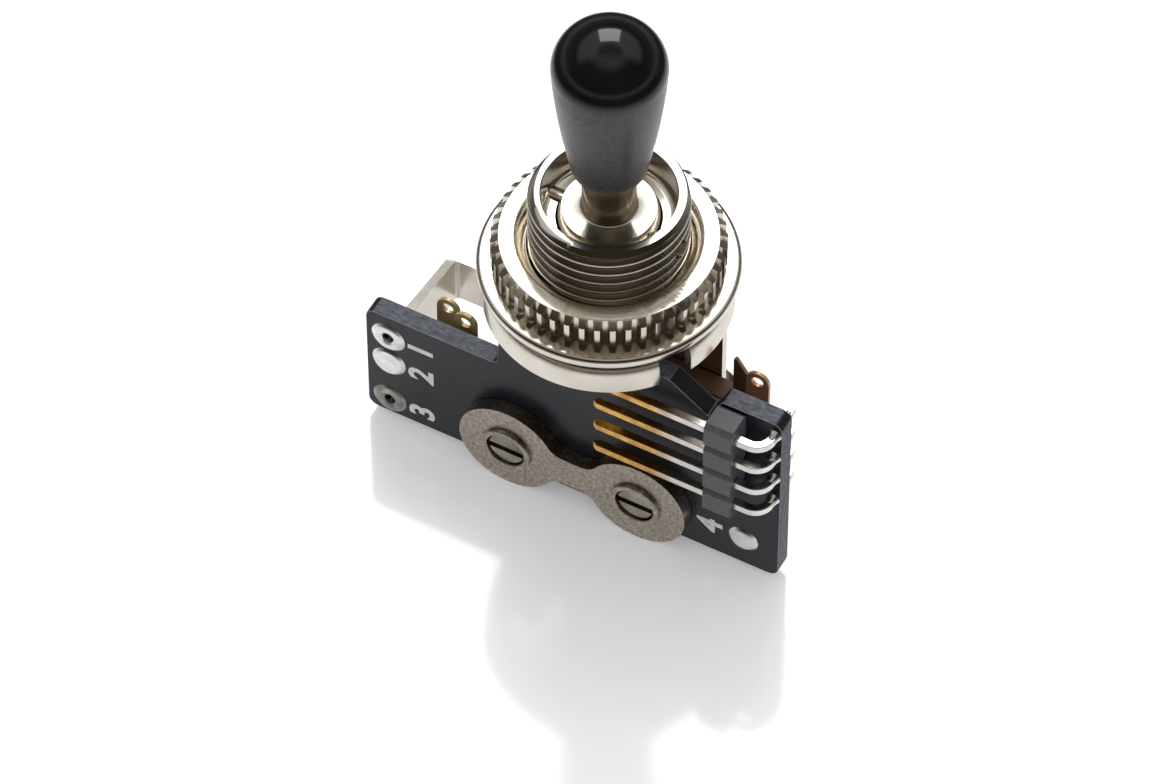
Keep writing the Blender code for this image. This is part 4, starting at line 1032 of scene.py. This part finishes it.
# %% Make the header block and its pins
low, high = node_mm("header_body")
HALF_PITCH = 1.27
GROOVE = 0.36
HALF_HOLE = 0.36


def grooved_side(y, groove):
    """One side of the block's outline, from the lowest pin up."""
    side = []
    for z in pin_rows:
        side += [(y + groove, z - HALF_PITCH, 0.0), (y, z - HALF_PITCH + GROOVE, 0.0),
                 (y, z + HALF_PITCH - GROOVE, 0.0)]
    return side + [(y + groove, pin_rows[-1] + HALF_PITCH, 0.0)]


outline = grooved_side(low[1], GROOVE)[::-1] + grooved_side(high[1], -GROOVE)
block = stamped("header_block", outline, low[0], high[0], "X")
pin_y = front - 1.7
for z in pin_rows:
    hole = box(pin_y - HALF_HOLE, z - HALF_HOLE, pin_y + HALF_HOLE, z + HALF_HOLE)
    combine(block, stamped("pin_hole", hole, low[0] - 1, high[0] + 1, "X"))
file_edges(block, 0.07, angle=30.0)
finish(block, HEADER_BLACK, "header_body")

for i, z in enumerate(pin_rows, start=1):
    (tip_x, _, _), (end_x, end_y, _) = node_mm("header_pin_%d" % i)
    near_y, far_y, inner_x = pin_y - HALF_PIN, pin_y + HALF_PIN, end_x - 2 * HALF_PIN
    plan = [(tip_x, pin_y - 0.12, 0.0), (tip_x + 0.35, near_y, 0.0), (end_x, near_y, 1.54),
            (end_x, end_y, 0.0), (inner_x, end_y, 0.0), (inner_x, far_y, 0.9),
            (tip_x + 0.35, far_y, 0.0), (tip_x, pin_y + 0.12, 0.0)]
    pin = stamped("pin_%d" % i, plan, z - HALF_PIN, z + HALF_PIN, "Z", segments=8)
    file_edges(pin, 0.06)
    finish(pin, PIN_GOLD, "header_pin_%d" % i)

# %% [markdown]
# ### Printed numbers
#
# Small white numbers beside the pads tell which wire goes where. Real ones are printed ink, a few
# hundredths of a millimetre thick. A text object turned into a mesh gives clean figures, and it
# lies just proud of the lacquer so that the two don't flicker.

# %% Print the numbers
INK = 0.012
BESIDE = [2.9, 2.9, 2.9, -2.7]
for i, (aside, (x, z, _)) in enumerate(zip(BESIDE, pads), start=1):
    text = bpy.data.curves.new("number_%d" % i, "FONT")
    text.body = str(i)
    text.size = 2.9 * MM
    text.offset = 0.09 * MM
    text.extrude = INK * MM
    text.align_x = "CENTER"
    text.align_y = "CENTER"
    written = put("written", text)
    mesh = evaluated(written)
    bpy.data.objects.remove(written, do_unlink=True)
    mesh.transform(at((x + aside, front - INK, z)) @ QUARTER["X"] @ QUARTER["Z"])
    finish(put("number_%d" % i, mesh), WHITE_INK)

# %% [markdown]
# ## The stack behind the board
#
# The wafers, the leaves and the small turned parts already have the right shape in the packed
# model. Only their edges are too sharp to be real. A copy of each mesh is welded, its flat faces
# are joined again, and a fine bevel catches the light, which a stand-in without it never does.

# %% Soften the stack


def softened(node, material, width, body="root"):
    """A copy of a CAD node with welded faces and slightly rounded edges."""
    maker = bmesh.new()
    maker.from_mesh(frame["nodes"][node].data)
    weld(maker, 1e-6)
    bmesh.ops.dissolve_limit(maker, angle_limit=math.radians(1.0), verts=maker.verts[:], edges=maker.edges[:])
    piece = solid(node + "_filed", maker)
    if width:
        file_edges(piece, width, angle=50.0)
    finish(piece, material, node, body=body)


for node in ("centre_spacer", "wafer_front_inner", "wafer_front_outer", "wafer_rear_inner",
             "wafer_rear_outer", "rear_block"):
    softened(node, FIBRE, 0.06)
softened("short_leaf_front", BRASS, 0.05)
softened("short_leaf_rear", COPPER, 0.05)
for node in ("contact_short_front", "contact_long_front", "contact_short_rear", "contact_long_rear"):
    softened(node, SILVER, 0.0)
for node in ("screw_tube_left", "screw_tube_right"):
    softened(node, NYLON, 0.0)
softened("lever_foot_sleeve", NYLON, 0.0, body="lever")
softened("pivot_pin", NICKEL, 0.0)

# %% [markdown]
# ### The long spring leaves
#
# The two long leaves are springs: their feet are clamped and their ends follow the lever's foot.
# A copy that only rode on the frame would be cut through by the lever. So each tongue is sliced
# into narrow bands from just above the short leaf's end upwards, ready for a bend that is not made
# here.

# %% Make the long leaves
BEND_LOW, BEND_HIGH, BAND = 14.9, 18.0, 0.35


def spring_leaf(node, material):
    """A copy of a long leaf, sliced into level bands above the short leaf's end."""
    low, high = node_mm(node)
    maker = bmesh.new()
    maker.from_mesh(frame["nodes"][node].data)
    weld(maker, 1e-6)
    level = BEND_LOW
    while level < high[2]:
        cut_level(maker, level)
        level += BAND
    piece = finish(solid(node + "_sprung", maker), material, node, body=None)
    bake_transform(piece)


spring_leaf("long_leaf_front", BRASS)
spring_leaf("long_leaf_rear", DARK_FIN)
